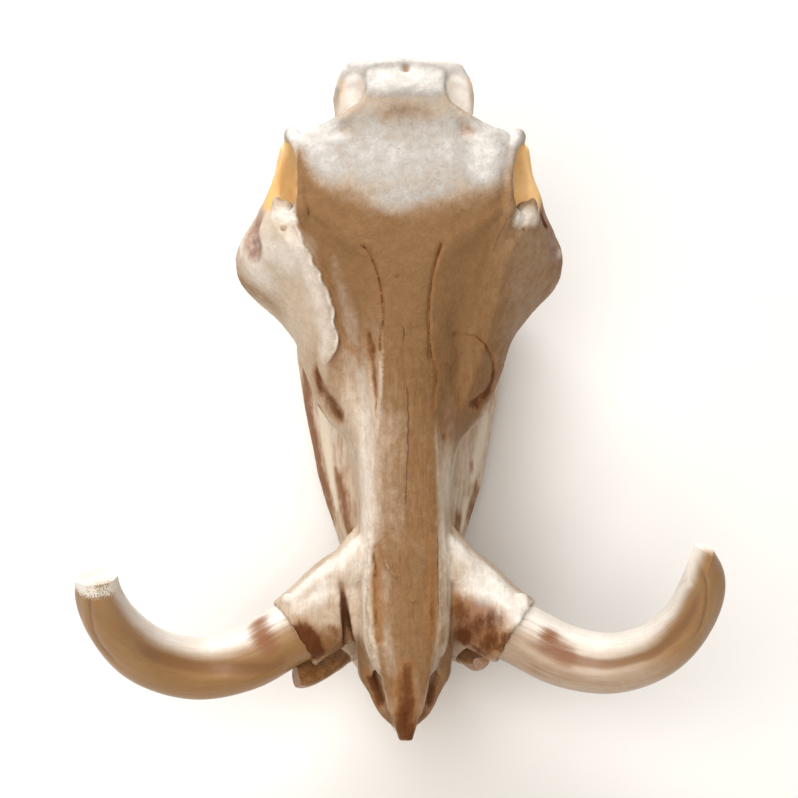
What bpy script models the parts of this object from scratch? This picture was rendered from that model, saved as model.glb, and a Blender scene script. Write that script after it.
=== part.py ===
"""A warthog skull with its lower jaw closed, as it lies at rest on a table.

Places are given in millimetres as (x, s, z): x across from the skull's middle
plane, to the right as a viewer in front sees it, s back from the tip of the
nasal bones, and z up from the table. The skull faces -Y, and the origin is the
middle of the floor under its box.
"""
import math

import bmesh
import bpy
import numpy as np
from mathutils import Matrix, Vector

for old in list(bpy.data.objects):
    bpy.data.objects.remove(old, do_unlink=True)

# Driving sizes, in millimetres
MM = 0.001
LENGTH = 386.0          # nasal tip to the back of the nuchal crest, along the table
MIDDLE_PLANE = 3.6      # the skull's middle plane, off the box's, as one tusk reaches further
GAP = 0.3               # left between pieces that touch
SIDES = (1, -1)

BITE_HEIGHT = 74.0      # level where the upper and lower cheek teeth meet
HINGE_HEIGHT = 150.0    # level where the jaw's condyles meet the cranium
PALATE_HEIGHT = 84.0

TUSK_RADIUS = 19.0
TUSK_SIDES = 20
TUSK_STEPS = 14
LOWER_TUSK_RADIUS = 9.0
LOWER_TUSK_SIDES = 12
LOWER_TUSK_STEPS = 9

BONE_VOXEL = 1.7
CRANIUM_FACES = 7600
MANDIBLE_FACES = 2700

# Colours of the materials: linear red, green, blue
BONE = (0.72, 0.60, 0.44)
JAW_BONE = (0.60, 0.44, 0.29)
IVORY = (0.78, 0.68, 0.52)
OLD_IVORY = (0.50, 0.34, 0.16)


def curve(*knots):
    """A smooth line through (place, value) knots that never overshoots them."""
    places, values = np.array(knots, float).T
    widths = np.diff(places)
    rises = np.diff(values) / widths
    slopes = np.zeros(len(places))
    slopes[0], slopes[-1] = rises[0], rises[-1]
    for knot in range(1, len(places) - 1):
        before, after = rises[knot - 1], rises[knot]
        if before * after > 0:
            slopes[knot] = 2 * before * after / (before + after)

    def read(place):
        place = min(max(place, places[0]), places[-1])
        knot = min(np.searchsorted(places, place, side="right"), len(places) - 1) - 1
        t = (place - places[knot]) / widths[knot]
        start = (1 + 2 * t) * (1 - t) ** 2 * values[knot] + t * (1 - t) ** 2 * widths[knot] * slopes[knot]
        end = t * t * (3 - 2 * t) * values[knot + 1] - t * t * (1 - t) * widths[knot] * slopes[knot + 1]
        return float(start + end)

    return read


def spline(points, count, closed=False):
    """Points read along a smooth line through the given ones, by their first three numbers."""
    points = np.array(points, float)
    if closed:
        points = np.vstack([points[-1:], points, points[:2]])
    spans = np.maximum(np.linalg.norm(np.diff(points[:, :3], axis=0), axis=1), 1e-6)
    knots = np.concatenate([[0], np.cumsum(spans)])
    rises = np.diff(points, axis=0) / spans[:, None]
    slopes = np.vstack([rises[:1], rises])
    inner = (rises[:-1] * spans[1:, None] + rises[1:] * spans[:-1, None]) / (spans[:-1] + spans[1:])[:, None]
    slopes[1:-1] = inner
    low, high = (knots[1], knots[-2]) if closed else (knots[0], knots[-1])
    line = []
    for place in np.linspace(low, high, count, endpoint=not closed):
        knot = min(max(np.searchsorted(knots, place, side="right") - 1, 0), len(spans) - 1)
        t = (place - knots[knot]) / spans[knot]
        line.append(
            (1 + 2 * t) * (1 - t) ** 2 * points[knot]
            + t * (1 - t) ** 2 * spans[knot] * slopes[knot]
            + t * t * (3 - 2 * t) * points[knot + 1]
            - t * t * (1 - t) * spans[knot] * slopes[knot + 1]
        )
    return np.array(line)


def to_scene(points):
    """Skull places in millimetres, turned into the scene's metres."""
    return (np.array(points, float) + (MIDDLE_PLANE, -LENGTH / 2, 0)) * MM


def loft(name, rings):
    """A closed skin through rings of equally many points."""
    work = bmesh.new()
    rows = [[work.verts.new(point) for point in to_scene(ring)] for ring in rings]
    count = len(rows[0])
    for row, following in zip(rows, rows[1:]):
        for place in range(count):
            after = (place + 1) % count
            work.faces.new((row[place], row[after], following[after], following[place]))
    for row in (rows[0], rows[-1]):
        middle = work.verts.new(sum((vert.co for vert in row), Vector()) / count)
        for place in range(count):
            work.faces.new((row[place], row[(place + 1) % count], middle))
    bmesh.ops.recalc_face_normals(work, faces=work.faces)
    bmesh.ops.triangulate(work, faces=work.faces)
    mesh = bpy.data.meshes.new(name)
    work.to_mesh(mesh)
    work.free()
    piece = bpy.data.objects.new(name, mesh)
    bpy.context.scene.collection.objects.link(piece)
    return piece


def oval(half, top, middle, bottom, upper=2.4, lower=2.4, count=36):
    """A ring of two half superellipses, joined at the widest height."""
    ring = []
    for step in range(count):
        across, rise = math.cos(math.tau * step / count), math.sin(math.tau * step / count)
        power, reach = (upper, top - middle) if rise > 0 else (lower, middle - bottom)
        ring.append((
            half * math.copysign(abs(across) ** (2 / power), across),
            middle + reach * math.copysign(abs(rise) ** (2 / power), rise),
        ))
    return ring


def stretch(name, start, end, step, section):
    """A symmetric piece along the skull: section(s) gives each ring's (x, z) points."""
    stations = np.linspace(start, end, max(int(round((end - start) / step)), 2) + 1)
    return loft(name, [[(x, s, z) for x, z in section(s)] for s in stations])


def limb(name, route, side=1, up=(0, 0, 1), sides=16, steps=12, round_ends=True):
    """A tapering bar along a smooth route of (x, s, z, radius across, radius up)."""
    line = spline(route, steps + 1)
    line[:, 0] *= side
    up = Vector((up[0] * side, up[1], up[2]))
    rings = []
    for place, (x, s, z, across, rise) in enumerate(line):
        before, after = line[max(place - 1, 0)], line[min(place + 1, steps)]
        along = Vector(after[:3] - before[:3]).normalized()
        sideways = along.cross(up).normalized()
        upright = sideways.cross(along)
        centre = Vector((x, s, z))
        ends = [(0, 1)]
        if round_ends and place in (0, steps):
            ends = [(0.8, 0.6), (0.45, 0.9), (0, 1)]
        if place == steps:
            ends.reverse()
        outward = -1 if place == 0 else 1
        for bulge, size in ends:
            middle = centre + along * (outward * bulge * min(across, rise))
            rings.append([
                middle
                + sideways * (across * size * math.cos(math.tau * turn / sides))
                + upright * (rise * size * math.sin(math.tau * turn / sides))
                for turn in range(sides)
            ])
    return loft(name, rings)


def ribbon(name, stations, side=1, across=8, steps=24):
    """A bony plate along the skull: each station is s, thickness and (x, z) down its height."""
    places = [station[0] for station in stations]
    lines = np.array([(station[1],) + sum(station[2:], ()) for station in stations], float)
    curves = [curve(*zip(places, column)) for column in lines.T]
    rings = []
    for s in np.linspace(places[0], places[-1], steps + 1):
        values = [read(s) for read in curves]
        thick = values[0] / 2
        spots = [(x, z, 0) for x, z in zip(values[1::2], values[2::2])]
        middle = spline(spots, across)
        along = np.gradient(middle, axis=0)
        along /= np.linalg.norm(along, axis=1)[:, None]
        outward = np.stack([-along[:, 1], along[:, 0]], axis=1)
        left = middle[:, :2] + outward * thick
        right = middle[:, :2] - outward * thick
        tip = middle[-1:, :2] + along[-1:, :2] * thick * 0.8
        root = middle[:1, :2] - along[:1, :2] * thick * 0.8
        outline = np.vstack([left, tip, right[::-1], root])
        rings.append([(x * side, s, z) for x, z in outline])
    return loft(name, rings)


def lump(name, centre, radii, side=1, turn=(0, 0, 0)):
    """An egg-shaped swelling, turned by degrees about X, Y and Z."""
    work = bmesh.new()
    bmesh.ops.create_icosphere(work, subdivisions=3, radius=1)
    spin = Matrix.Identity(3)
    for axis, degrees in zip("XYZ", turn):
        spin = Matrix.Rotation(math.radians(degrees * (1 if axis == "X" else side)), 3, axis) @ spin
    x, s, z = centre
    for vert in work.verts:
        shaped = spin @ Vector(a * b for a, b in zip(vert.co, radii))
        vert.co = to_scene((x * side + shaped.x, s + shaped.y, z + shaped.z))
    mesh = bpy.data.meshes.new(name)
    work.to_mesh(mesh)
    work.free()
    piece = bpy.data.objects.new(name, mesh)
    bpy.context.scene.collection.objects.link(piece)
    return piece


def block(name, low, high):
    """A plain box between two corners, used as a cutter."""
    (x0, s0, z0), (x1, s1, z1) = low, high
    return loft(name, [
        [(x0, s, z0), (x1, s, z0), (x1, s, z1), (x0, s, z1)] for s in (s0, s1)
    ])


def settle(piece):
    """The piece with its modifiers applied."""
    graph = bpy.context.evaluated_depsgraph_get()
    mesh = bpy.data.meshes.new_from_object(piece.evaluated_get(graph))
    piece.modifiers.clear()
    piece.data = mesh
    return piece


def combine(piece, others, operation, solver="MANIFOLD"):
    """The piece joined with the others, or cut by them, and the others removed."""
    group = bpy.data.collections.new(piece.name + "_" + operation.lower())
    for other in others:
        group.objects.link(other)
    boolean = piece.modifiers.new(operation.lower(), "BOOLEAN")
    boolean.operation = operation
    boolean.operand_type = "COLLECTION"
    boolean.collection = group
    boolean.solver = solver
    settle(piece)
    for other in list(others):
        bpy.data.objects.remove(other, do_unlink=True)
    bpy.data.collections.remove(group)
    return piece


def round_joins(piece, voxel, passes):
    """One even skin over the joined pieces, with the joins between them rounded."""
    remesh = piece.modifiers.new("skin", "REMESH")
    remesh.mode = "VOXEL"
    remesh.voxel_size = voxel * MM
    ease = piece.modifiers.new("ease", "SMOOTH")
    ease.factor = 0.5
    ease.iterations = passes
    return settle(piece)


def largest_body(piece):
    """Leaves only the largest closed surface of the piece."""
    work = bmesh.new()
    work.from_mesh(piece.data)
    left = set(work.faces)
    bodies = []
    while left:
        start = left.pop()
        body, edge = [start], [start]
        while edge:
            face = edge.pop()
            for side in face.edges:
                for other in side.link_faces:
                    if other in left:
                        left.remove(other)
                        body.append(other)
                        edge.append(other)
        bodies.append(body)
    bodies.sort(key=len)
    spare = [face for body in bodies[:-1] for face in body]
    bmesh.ops.delete(work, geom=spare, context="FACES")
    work.to_mesh(piece.data)
    work.free()
    return piece


def thin_out(piece, faces):
    """The same surface with about so many triangles."""
    fewer = piece.modifiers.new("fewer", "DECIMATE")
    piece.data.calc_loop_triangles()
    fewer.ratio = faces / len(piece.data.loop_triangles)
    return settle(piece)


def sculpt(piece, dents, lines):
    """Raises and sinks the skin round places and along routes, in millimetres."""
    mesh = piece.data
    flat = np.empty(len(mesh.vertices) * 3)
    mesh.vertices.foreach_get("co", flat)
    points = flat.reshape(-1, 3) / MM - (MIDDLE_PLANE, -LENGTH / 2, 0)
    mesh.vertex_normals.foreach_get("vector", flat)
    normals = flat.reshape(-1, 3).copy()
    lift = np.zeros(len(points))
    for centre, reach, height in dents:
        for side in SIDES:
            away = (points - (centre[0] * side, centre[1], centre[2])) / reach
            lift += height * np.clip(1 - (away ** 2).sum(axis=1), 0, 1) ** 2 * (0.5 if centre[0] == 0 else 1)
    for route, width, height in lines:
        for side in SIDES:
            way = spline(route, 40) * (side, 1, 1)
            near = np.full(len(points), 1e9)
            for spot in way:
                near = np.minimum(near, ((points - spot) ** 2).sum(axis=1))
            lift += height * np.clip(1 - near / width ** 2, 0, 1) ** 2
    points += normals * lift[:, None]
    mesh.vertices.foreach_set("co", to_scene(points).ravel())
    mesh.update()
    return piece


def finish(piece, name, colour, roughness):
    """Names a node, gives it its material and shades it smooth."""
    piece.name = piece.data.name = name
    material = bpy.data.materials.new(name)
    material.use_nodes = True
    shader = material.node_tree.nodes["Principled BSDF"]
    shader.inputs["Base Color"].default_value = (*colour, 1)
    shader.inputs["Roughness"].default_value = roughness
    shader.inputs["Metallic"].default_value = 0
    piece.data.materials.clear()
    piece.data.materials.append(material)
    piece.data.shade_smooth()
    return piece


# Profile lines of the cranium, each read at s
ROOF = curve((-8, 113), (0, 116), (20, 124), (57, 135), (96, 142.5), (134, 149), (172, 158), (210, 170), (240, 182),
             (268, 196), (296, 208), (315, 214), (335, 218), (350, 220), (360, 226), (368, 233), (376, 237),
             (386, 235))
NASAL_HALF = curve((-8, 2.2), (0, 4.2), (8, 7.5), (22, 11.5), (38, 15), (57, 18), (78, 20), (134, 19.5), (200, 17.5),
                   (245, 21), (262, 27), (276, 38), (290, 50), (304, 58))
NASAL_DROP = curve((30, 3), (134, 4), (200, 5), (245, 7), (276, 9), (304, 10))
CREST_HALF = curve((30, 22), (57, 26), (96, 26), (134, 26), (165, 27), (188, 32), (205, 39), (218, 45),
                   (230, 48), (250, 50), (268, 56), (288, 64), (304, 69))
CREST_HEIGHT = curve((30, 112), (57, 121), (96, 128), (134, 132), (165, 137), (188, 140), (208, 143),
                     (230, 153), (250, 167), (268, 181), (288, 193), (304, 198))
FOSSA_DEPTH = curve((110, 0), (165, 2), (200, 6), (222, 9), (245, 7), (265, 4), (285, 1), (304, 0))
CHEEK_HALF = curve((30, 23), (40, 26), (57, 29), (80, 29.5), (134, 28.5), (160, 29), (180, 33), (196, 41),
                   (215, 50), (240, 55), (262, 57), (304, 56))
CHEEK_HEIGHT = curve((30, 98), (57, 106), (134, 110), (190, 112), (240, 122), (304, 150))
PALATE_HALF = curve((30, 16), (60, 21), (134, 24), (180, 30), (260, 32), (285, 26), (304, 20))
PALATE_LINE = curve((30, 79), (60, 81), (100, PALATE_HEIGHT), (262, PALATE_HEIGHT + 1), (285, 96), (304, 112))
BROW_HALF = curve((272, 18), (284, 34), (294, 50), (302, 58), (308, 60), (318, 61.5), (336, 63.5), (346, 63), (352, 50), (357, 38), (362, 26))


def face_ring(s):
    """The muzzle's section: nasal roof, hollow, cheek crest, cheek wall and palate."""
    top = ROOF(s)
    edge, edge_height = NASAL_HALF(s), top - NASAL_DROP(s)
    crest, crest_height = CREST_HALF(s), CREST_HEIGHT(s)
    hollow = ((edge + crest) / 2, (edge_height + crest_height) / 2 + 2 - FOSSA_DEPTH(s))
    palate, base = PALATE_HALF(s), PALATE_LINE(s)
    half = [
        (0, top), (edge * 0.6, top - NASAL_DROP(s) * 0.3), (edge, edge_height), hollow, (crest, crest_height),
        (CHEEK_HALF(s), CHEEK_HEIGHT(s)), (palate, base + 3), (palate * 0.7, base), (0, base + 2),
    ]
    ring = half + [(-x, z) for x, z in reversed(half[1:-1])]
    return [(x, z) for x, z, _ in spline([(x, z, 0) for x, z in ring], 48, closed=True)]


def cranium_pieces():
    """The bones of the upper skull, before they are fused."""
    nasal_depth = curve((-8, 7), (22, 10), (60, 14))
    premaxilla_top = curve((12, 90), (27, 99), (45, 112), (66, 118))
    premaxilla_half = curve((12, 6), (21, 15.5), (34, 22.5), (46, 28.5), (66, 28))
    premaxilla_base = curve((12, 77), (25, 73), (66, 79))
    parietal_half = curve((340, 60), (346, 52), (353, 38), (358, 30), (364, 25), (372, 21), (380, 23), (384, 27))
    parietal_depth = curve((340, 36), (364, 34), (384, 13))
    occiput_half = curve((124, 20), (140, 36), (160, 44), (176, 42), (190, 40), (205, 43), (221, 41), (236, 34))
    occiput_middle = curve((124, 343), (150, 350), (175, 358), (205, 370), (225, 377), (236, 380.5))
    occiput_depth = curve((124, 8), (180, 8), (205, 5), (236, 4))

    pieces = [
        stretch("face", 44, 304, 6, face_ring),
        stretch("nasals", 1, 62, 4, lambda s: oval(
            NASAL_HALF(s), ROOF(s), ROOF(s) - nasal_depth(s) * 0.6, ROOF(s) - nasal_depth(s), 2.2, 2)),
        stretch("premaxilla", 12, 66, 5, lambda s: oval(
            premaxilla_half(s), premaxilla_top(s), 92, premaxilla_base(s), 2.6, 3)),
        stretch("forehead", 272, 362, 4, lambda s: oval(
            BROW_HALF(s), ROOF(s), ROOF(s) - 10, ROOF(s) - 26, 2.5, 2.2)),
        stretch("braincase", 276, 370, 8, lambda s: oval(36, ROOF(s) - 6, 172, 126, 2.4, 2.6)),
        stretch("parietals", 340, 383, 4, lambda s: oval(
            parietal_half(s), ROOF(s), ROOF(s) - 8, ROOF(s) - parietal_depth(s), 2.6, 2.2)),
        stretch("skull_base", 285, 362, 8, lambda s: oval(15, 136, 124, 114, 2.6, 2.4)),
    ]
    heights = np.linspace(124, 236, 17)
    pieces.append(loft("occiput", [
        [(x, occiput_middle(z) + depth, z)
         for x, depth in oval(occiput_half(z), occiput_depth(z), 0, -occiput_depth(z), 1.9, 1.9)]
        for z in heights
    ]))
    pieces.append(limb("nuchal_crest", [(-33, 380.5, 232, 4, 3.5), (-16, 381.5, 235.5, 4, 3.5),
                                        (0, 381, 234.5, 4, 3.5), (16, 381.5, 235.5, 4, 3.5),
                                        (33, 380.5, 232, 4, 3.5)]))
    for side in SIDES:
        pieces += cranium_side(side)
    return pieces


def cranium_side(side):
    """The bones on one side of the upper skull, whose cheeks bulge unequally."""
    bulge = 4 if side < 0 else -1
    spread = curve((252, 0), (272, 0.3), (285, 1), (300, 1), (314, 0.5), (327, 0))
    plate = [
        (172, 8, (20, 134), (22, 126), (22, 116), (20, 104)),
        (188, 10, (26, 138), (31, 128), (33, 116), (29, 100)),
        (205, 12, (34, 142), (42, 130), (46, 116), (41, 99)),
        (226, 13, (42, 150), (51, 137), (55, 120), (50, 100)),
        (248, 13, (49, 165), (58, 150), (62, 128), (58, 104)),
        (268, 12, (55, 179), (69, 160), (77.5, 134), (72, 108)),
        (285, 12, (63, 189), (82, 167), (94, 141), (86, 111)),
        (297, 11, (71, 188), (86, 168), (96, 143), (88, 114)),
        (312, 9, (78, 174), (86, 164), (91, 148), (83, 124)),
        (327, 8, (80, 171), (83, 163), (83.5, 151), (76, 133)),
        (341, 8, (75, 177), (77, 168), (76.5, 157), (71, 143)),
        (352, 8, (72, 185), (74, 177), (73.5, 167), (70, 153)),
        (358, 7, (69, 188), (70, 181), (69, 172), (66, 160)),
    ]
    cheekbone = ribbon("cheekbone", [
        (s, thick, *((x + bulge * spread(s), z) for x, z in spots)) for s, thick, *spots in plate
    ], side)
    return [
        cheekbone,
        ribbon("eye_floor", [
            (294, 10, (48, 164), (60, 167), (70, 173), (77, 180)),
            (312, 8, (44, 158), (58, 159), (70, 163), (80, 170)),
            (330, 6, (42, 154), (58, 155), (70, 158), (79, 165)),
        ], side, steps=8),
        limb("cheek_post", [(75, 345, 176, 4, 5), (74, 350, 187, 3, 3)], side, up=(0, 1, 0)),
        limb("temple_root", [(74, 347, 170, 8, 12), (56, 347, 165, 12, 12), (34, 344, 160, 14, 14)], side),
        lump("hinge_pad", (60, 335, 158), (19, 13, 10), side),
        limb("temple_crest", [(66, 352, 178, 4, 5), (53, 359, 181, 4, 6), (42, 366, 189, 4, 6)], side),
        limb("crest_wing", [(32, 380.5, 232, 4, 4), (39, 380, 224, 3, 4), (42.5, 376.5, 208, 2.5, 4),
                            (40, 371, 192, 2.5, 4), (40, 362, 176, 4, 5)], side, up=(0, 1, 0)),
        limb("tusk_socket", [(12, 104, 106, 24, 18), (36, 89, 104, 27, 21), (54, 76, 102.4, 24, 22),
                             (67, 67, 102.4, 22.5, 22.5)], side, sides=24, round_ends=False),
        limb("socket_ridge", [(24, 128, 119, 5, 6), (40, 106, 117, 7, 8), (58, 87.5, 117, 7, 8),
                              (69, 79, 115, 5, 6)], side),
        limb("socket_shoulder", [(14, 118, 128, 12, 9), (32, 102, 122, 12, 9), (50, 88, 116, 10, 8)], side),
        lump("condyle", (15, 360, 138), (11, 12, 13), side, (20, 0, 15)),
        limb("neck_process", [(34, 352, 158, 8, 6), (35, 350, 128, 6, 6), (33, 344, 100, 5, 4),
                              (32, 340, 80, 3, 3)], side, up=(0, 1, 0)),
        lump("ear_capsule", (27, 334, 118), (9, 14, 15), side),
        limb("wing_of_the_palate", [(17, 268, 96, 4, 10), (18, 285, 100, 3, 15), (19, 302, 108, 3, 17),
                                    (20, 318, 120, 4, 12)], side),
        lump("tooth_bone", (29, 262, 100), (13, 22, 16), side),
    ]


def cranium_rims(side):
    """Thin edges that stand over the openings, joined on after those are cut."""
    return [
        limb("brow_rim", [(60, 288, 190, 3, 4), (62, 304, 201, 3, 4), (62.5, 325, 206, 2.5, 3.5),
                          (65, 340, 208.5, 3, 4), (68.5, 349, 207, 4, 4.5), (71, 351.5, 198, 3, 3)], side),
        lump("tear_bone", (74, 305, 184), (8, 11, 9), side),
    ]


def cranium_openings():
    """Where the upper skull is open: nose, eyes, throat, neck and face canals."""
    mouth_of_nose = limb("nose", [(0, -10, 92, 15, 12), (0, 8, 99, 16, 11), (0, 24, 104, 17, 12), (0, 42, 108, 15.5, 13),
                                  (0, 82, 113, 11, 12)], sides=20, steps=14)
    throat = limb("throat", [(0, 315, 92, 13, 9), (0, 290, 99, 13, 10), (0, 262, 102, 10, 8)])
    neck = limb("neck", [(0, 380, 146, 12, 11), (0, 350, 150, 12, 11), (0, 325, 158, 16, 15)])
    openings = [mouth_of_nose, throat, neck]
    for side in SIDES:
        openings += [
            limb("eye", [(104, 326, 195, 21, 20), (76, 325, 192, 20, 18), (50, 318, 188, 15, 14)], side, sides=20),
            limb("face_canal", [(56, 190, 123, 8, 8), (49, 211, 131, 7, 7), (38, 236, 136, 5, 5)], side),
            limb("ear", [(66, 366, 172, 3.5, 3.5), (46, 348, 160, 3, 3)], side),
        ]
    return openings


CRANIUM_DENTS = [
    ((0, 384, 205), (30, 16, 28), -4),
    ((60, 238, 112), (14, 30, 14), -4),
    ((0, 360, 226), (18, 16, 10), -2),
    ((97, 300, 170), (12, 16, 14), -3.5),
    ((34, 370, 218), (10, 12, 16), -3),
    ((0, 312, 218), (55, 30, 16), 2),
    ((0, 90, 82), (14, 40, 10), -3),
    ((0, 210, 86), (16, 60, 10), -6),
]
CRANIUM_LINES = [
    ([(22, 279, 199), (14.5, 260, 191), (13.5, 240, 181), (15.8, 220, 172.5), (18.3, 197, 164)], 3.2, -2.6),
    ([(68, 350, 209), (51, 346, 215), (36, 352.5, 219), (24.5, 363, 226), (20, 374, 233)], 5, 1.6),
    ([(63, 290, 195), (56, 276, 186), (50, 256, 173), (48, 236, 158), (50, 226, 150)], 4, 2.4),
]


def tusk_route(side):
    """An upper tusk's middle line with its radii, from its root in the socket."""
    left = [(94, 52.0, 102, 1.0), (122, 45.0, 105, 0.98), (149, 48.0, 122, 0.93), (167, 59.5, 150, 0.83),
            (173.5, 74.0, 180, 0.68), (173, 78.5, 189, 0.60)]
    right = [(94, 53.5, 102, 1.0), (121, 47.0, 107, 0.96), (146, 50.0, 126, 0.88), (163, 64.0, 154, 0.78),
             (167.5, 80.0, 182, 0.64), (163, 90.0, 204, 0.34)]
    sweep = right if side > 0 else left
    root = [(52, 74.3, 101.6, 1.0), (70, 65.8, 102, 1.0)]
    return [(x, s, z, TUSK_RADIUS * size, TUSK_RADIUS * size * 0.97) for x, s, z, size in root + sweep]


def cheek_teeth(name, side, crown, neck, row_half, row_angle):
    """A row of cheek teeth in pairs of columns, from the bone to the biting level."""
    teeth = []
    sizes = [(8.5, 10), (11, 13), (17, 15.5), (50, 16.5)]
    s = 172.0
    for number, (length, width) in enumerate(sizes):
        columns = max(int(round(length / 8.5)), 1)
        for place in range(columns):
            middle = s + length * (place + 0.5) / columns
            x = row_half + row_angle * (middle - 172)
            taper = 1 - 0.25 * (place == columns - 1 and columns > 2)
            across, along = width / 2 * taper, length / columns / 2 * 1.18
            rings = []
            for z, size in ((neck, 0.92), (crown, 1.0)):
                rings.append([
                    ((x + dx * size) * side, middle + dz * size, z)
                    for dx, dz in oval(across, along, 0, -along, 3, 3, 8)
                ])
            teeth.append(loft(f"{name}_{number}_{place}", rings))
        s += length + 0.4
    return teeth


def make_cranium():
    """The upper skull with its cheek teeth, sockets and the faces that meet the jaw."""
    pieces = cranium_pieces()
    cranium = combine(pieces[0], pieces[1:], "UNION")
    combine(cranium, cranium_openings(), "DIFFERENCE")
    combine(cranium, cranium_rims(1) + cranium_rims(-1), "UNION")
    round_joins(cranium, BONE_VOXEL, 4)
    largest_body(cranium)
    sculpt(cranium, CRANIUM_DENTS, CRANIUM_LINES)
    thin_out(cranium, CRANIUM_FACES)
    teeth = []
    for side in SIDES:
        teeth += cheek_teeth("upper_tooth", side, BITE_HEIGHT - 3, PALATE_HEIGHT + 8, 21.5, 0.045)
        teeth.append(limb("upper_incisor", [(5, 24, 82, 4, 4), (5, 18, 72, 3.6, 3.2), (3.5, 15, 64, 2.4, 2)],
                          side, up=(0, 1, 0), sides=6, steps=2))
    combine(cranium, teeth, "UNION")
    cutters = [
        block("bite", (-60, 160, BITE_HEIGHT - 30), (60, 290, BITE_HEIGHT + GAP / 2)),
    ]
    for side in SIDES:
        near, far = sorted((42 * side, 84 * side))
        cutters.append(block("hinge", (near, 318, HINGE_HEIGHT - 20), (far, 349, HINGE_HEIGHT + GAP / 2)))
        cutters.append(socket(tusk_route(side), side, TUSK_SIDES, 60))
    combine(cranium, cutters, "DIFFERENCE")
    return finish(largest_body(cranium), "cranium", BONE, 0.6)


def socket(route, side, sides, length):
    """A straight cutter round a tusk's root, wider and deeper than it by the gap."""
    start, after = Vector(route[0][:3]), Vector(route[1][:3])
    along = (after - start).normalized()
    radius = route[0][3] + GAP / math.cos(math.pi / sides)
    upward = route[0][4] + GAP / math.cos(math.pi / sides)
    inner, outer = start - along * GAP, start + along * length
    return limb("socket", [(*inner, radius, upward), (*outer, radius, upward)], side, sides=sides, steps=1,
                round_ends=False)


def make_mandible():
    """The lower jaw with its teeth, resting on its chin and its two angles."""
    chin_top = curve((26, 66), (60, 62), (100, 57), (150, 54))
    chin_base = curve((26, 57), (45, 43), (70, 25), (95, 8), (112, -1.5), (132, -1.5), (150, 3))
    chin_half = curve((26, 17), (45, 23), (62, 33), (76, 35), (95, 28), (120, 27), (150, 34))
    pieces = [
        stretch("chin", 26, 150, 6, lambda s: oval(
            chin_half(s), chin_top(s), (chin_top(s) + chin_base(s)) / 2 + 6, chin_base(s), 3, 2.4)),
    ]
    for side in SIDES:
        pieces += [
            ribbon("jaw_body", [
                (105, 16, (20, 54), (22, 40), (22, 24), (17, 12)),
                (130, 15, (23, 54), (28, 40), (29, 22), (26, 8)),
                (152, 15, (27, 56), (33, 42), (36, 24), (34, 10)),
                (184, 16, (30, 61), (40, 43), (46, 25), (43, 12)),
                (220, 17, (32, 63), (45, 45), (53, 25), (50, 12)),
                (248, 16, (36, 68), (50, 47), (59, 25), (56, 9)),
                (266, 15, (45, 86), (55, 52), (62, 27), (60, 6)),
                (280, 13, (50, 104), (58, 66), (65, 30), (63, 3)),
                (297, 11, (52, 120), (59, 76), (65, 36), (65, 2)),
                (316, 9, (56, 132), (61, 86), (66, 42), (67, 2)),
                (331, 8, (58, 128), (62, 92), (65, 50), (66, 12)),
                (342, 6, (59, 114), (62, 94), (64, 68), (65, 40)),
            ], side),
            limb("jaw_condyle", [(47, 334, 142, 8, 8), (61, 333, 144, 9, 8.5), (75, 331, 143, 7, 7.5)], side),
            limb("jaw_neck", [(58, 318, 112, 12, 6), (60, 330, 138, 9, 8)], side, up=(1, 0, 0)),
            limb("coronoid", [(54, 296, 104, 6, 14), (58, 300, 126, 4, 10), (61, 304, 142, 3, 6)],
                 side, up=(0, 1, 0)),
            limb("lower_socket", [(14, 96, 44, 14, 14), (32, 76, 54, 14, 14), (39, 67, 61, 12, 12)], side),
            lump("tooth_bone", (32, 240, 56), (12, 34, 12), side),
        ]
    mandible = combine(pieces[0], pieces[1:], "UNION")
    cutters = [limb("tongue_room", [(0, 60, 76, 12, 12), (0, 100, 72, 12, 24), (0, 150, 48, 19, 44),
                                    (0, 200, 40, 24, 60)], sides=20)]
    combine(mandible, cutters, "DIFFERENCE")
    round_joins(mandible, BONE_VOXEL, 4)
    largest_body(mandible)
    sculpt(mandible, [((66, 300, 60), (12, 26, 40), -2.5), ((0, 80, 30), (20, 20, 20), -1)], [])
    thin_out(mandible, MANDIBLE_FACES)
    teeth = []
    for side in SIDES:
        teeth += cheek_teeth("lower_tooth", side, BITE_HEIGHT + 3, 54, 22, 0.06)
        for number in range(3):
            x = 3.6 + 5.2 * number
            teeth.append(limb("incisor", [
                (x * 0.9, 50, 56, 4, 4), (x, 34, 63, 3.4, 3), (x * 1.04, 22 + 3 * number, 70, 2.8, 1.8),
            ], side, sides=6, steps=2))
    combine(mandible, teeth, "UNION")
    cutters = [
        block("floor", (-120, 0, -40), (120, 380, 0)),
        block("bite", (-60, 150, BITE_HEIGHT - GAP / 2), (60, 261.5, BITE_HEIGHT + 20)),
    ]
    for side in SIDES:
        near, far = sorted((40 * side, 84 * side))
        cutters.append(block("hinge", (near, 318, HINGE_HEIGHT - GAP / 2), (far, 352, HINGE_HEIGHT + 20)))
        cutters.append(socket(lower_tusk_route(side), side, LOWER_TUSK_SIDES, 40))
    combine(mandible, cutters, "DIFFERENCE")
    return finish(largest_body(mandible), "mandible", JAW_BONE, 0.62)


def lower_tusk_route(side):
    """A lower tusk's middle line with its radii, from its root in the jaw."""
    left = [(46, 55, 73, 1.0), (55, 47, 83, 1.0), (63, 42, 90, 0.9), (67, 40, 94, 0.6)]
    right = [(43.6, 58.3, 69, 1.0), (46, 54, 78, 0.85), (47, 52, 86, 0.6)]
    sweep = right if side > 0 else left
    root = [(34, 73, 53, 1.0), (39.5, 64.5, 62, 1.0)]
    return [(x, s, z, LOWER_TUSK_RADIUS * size, LOWER_TUSK_RADIUS * size * 0.75) for x, s, z, size in root + sweep]


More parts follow.
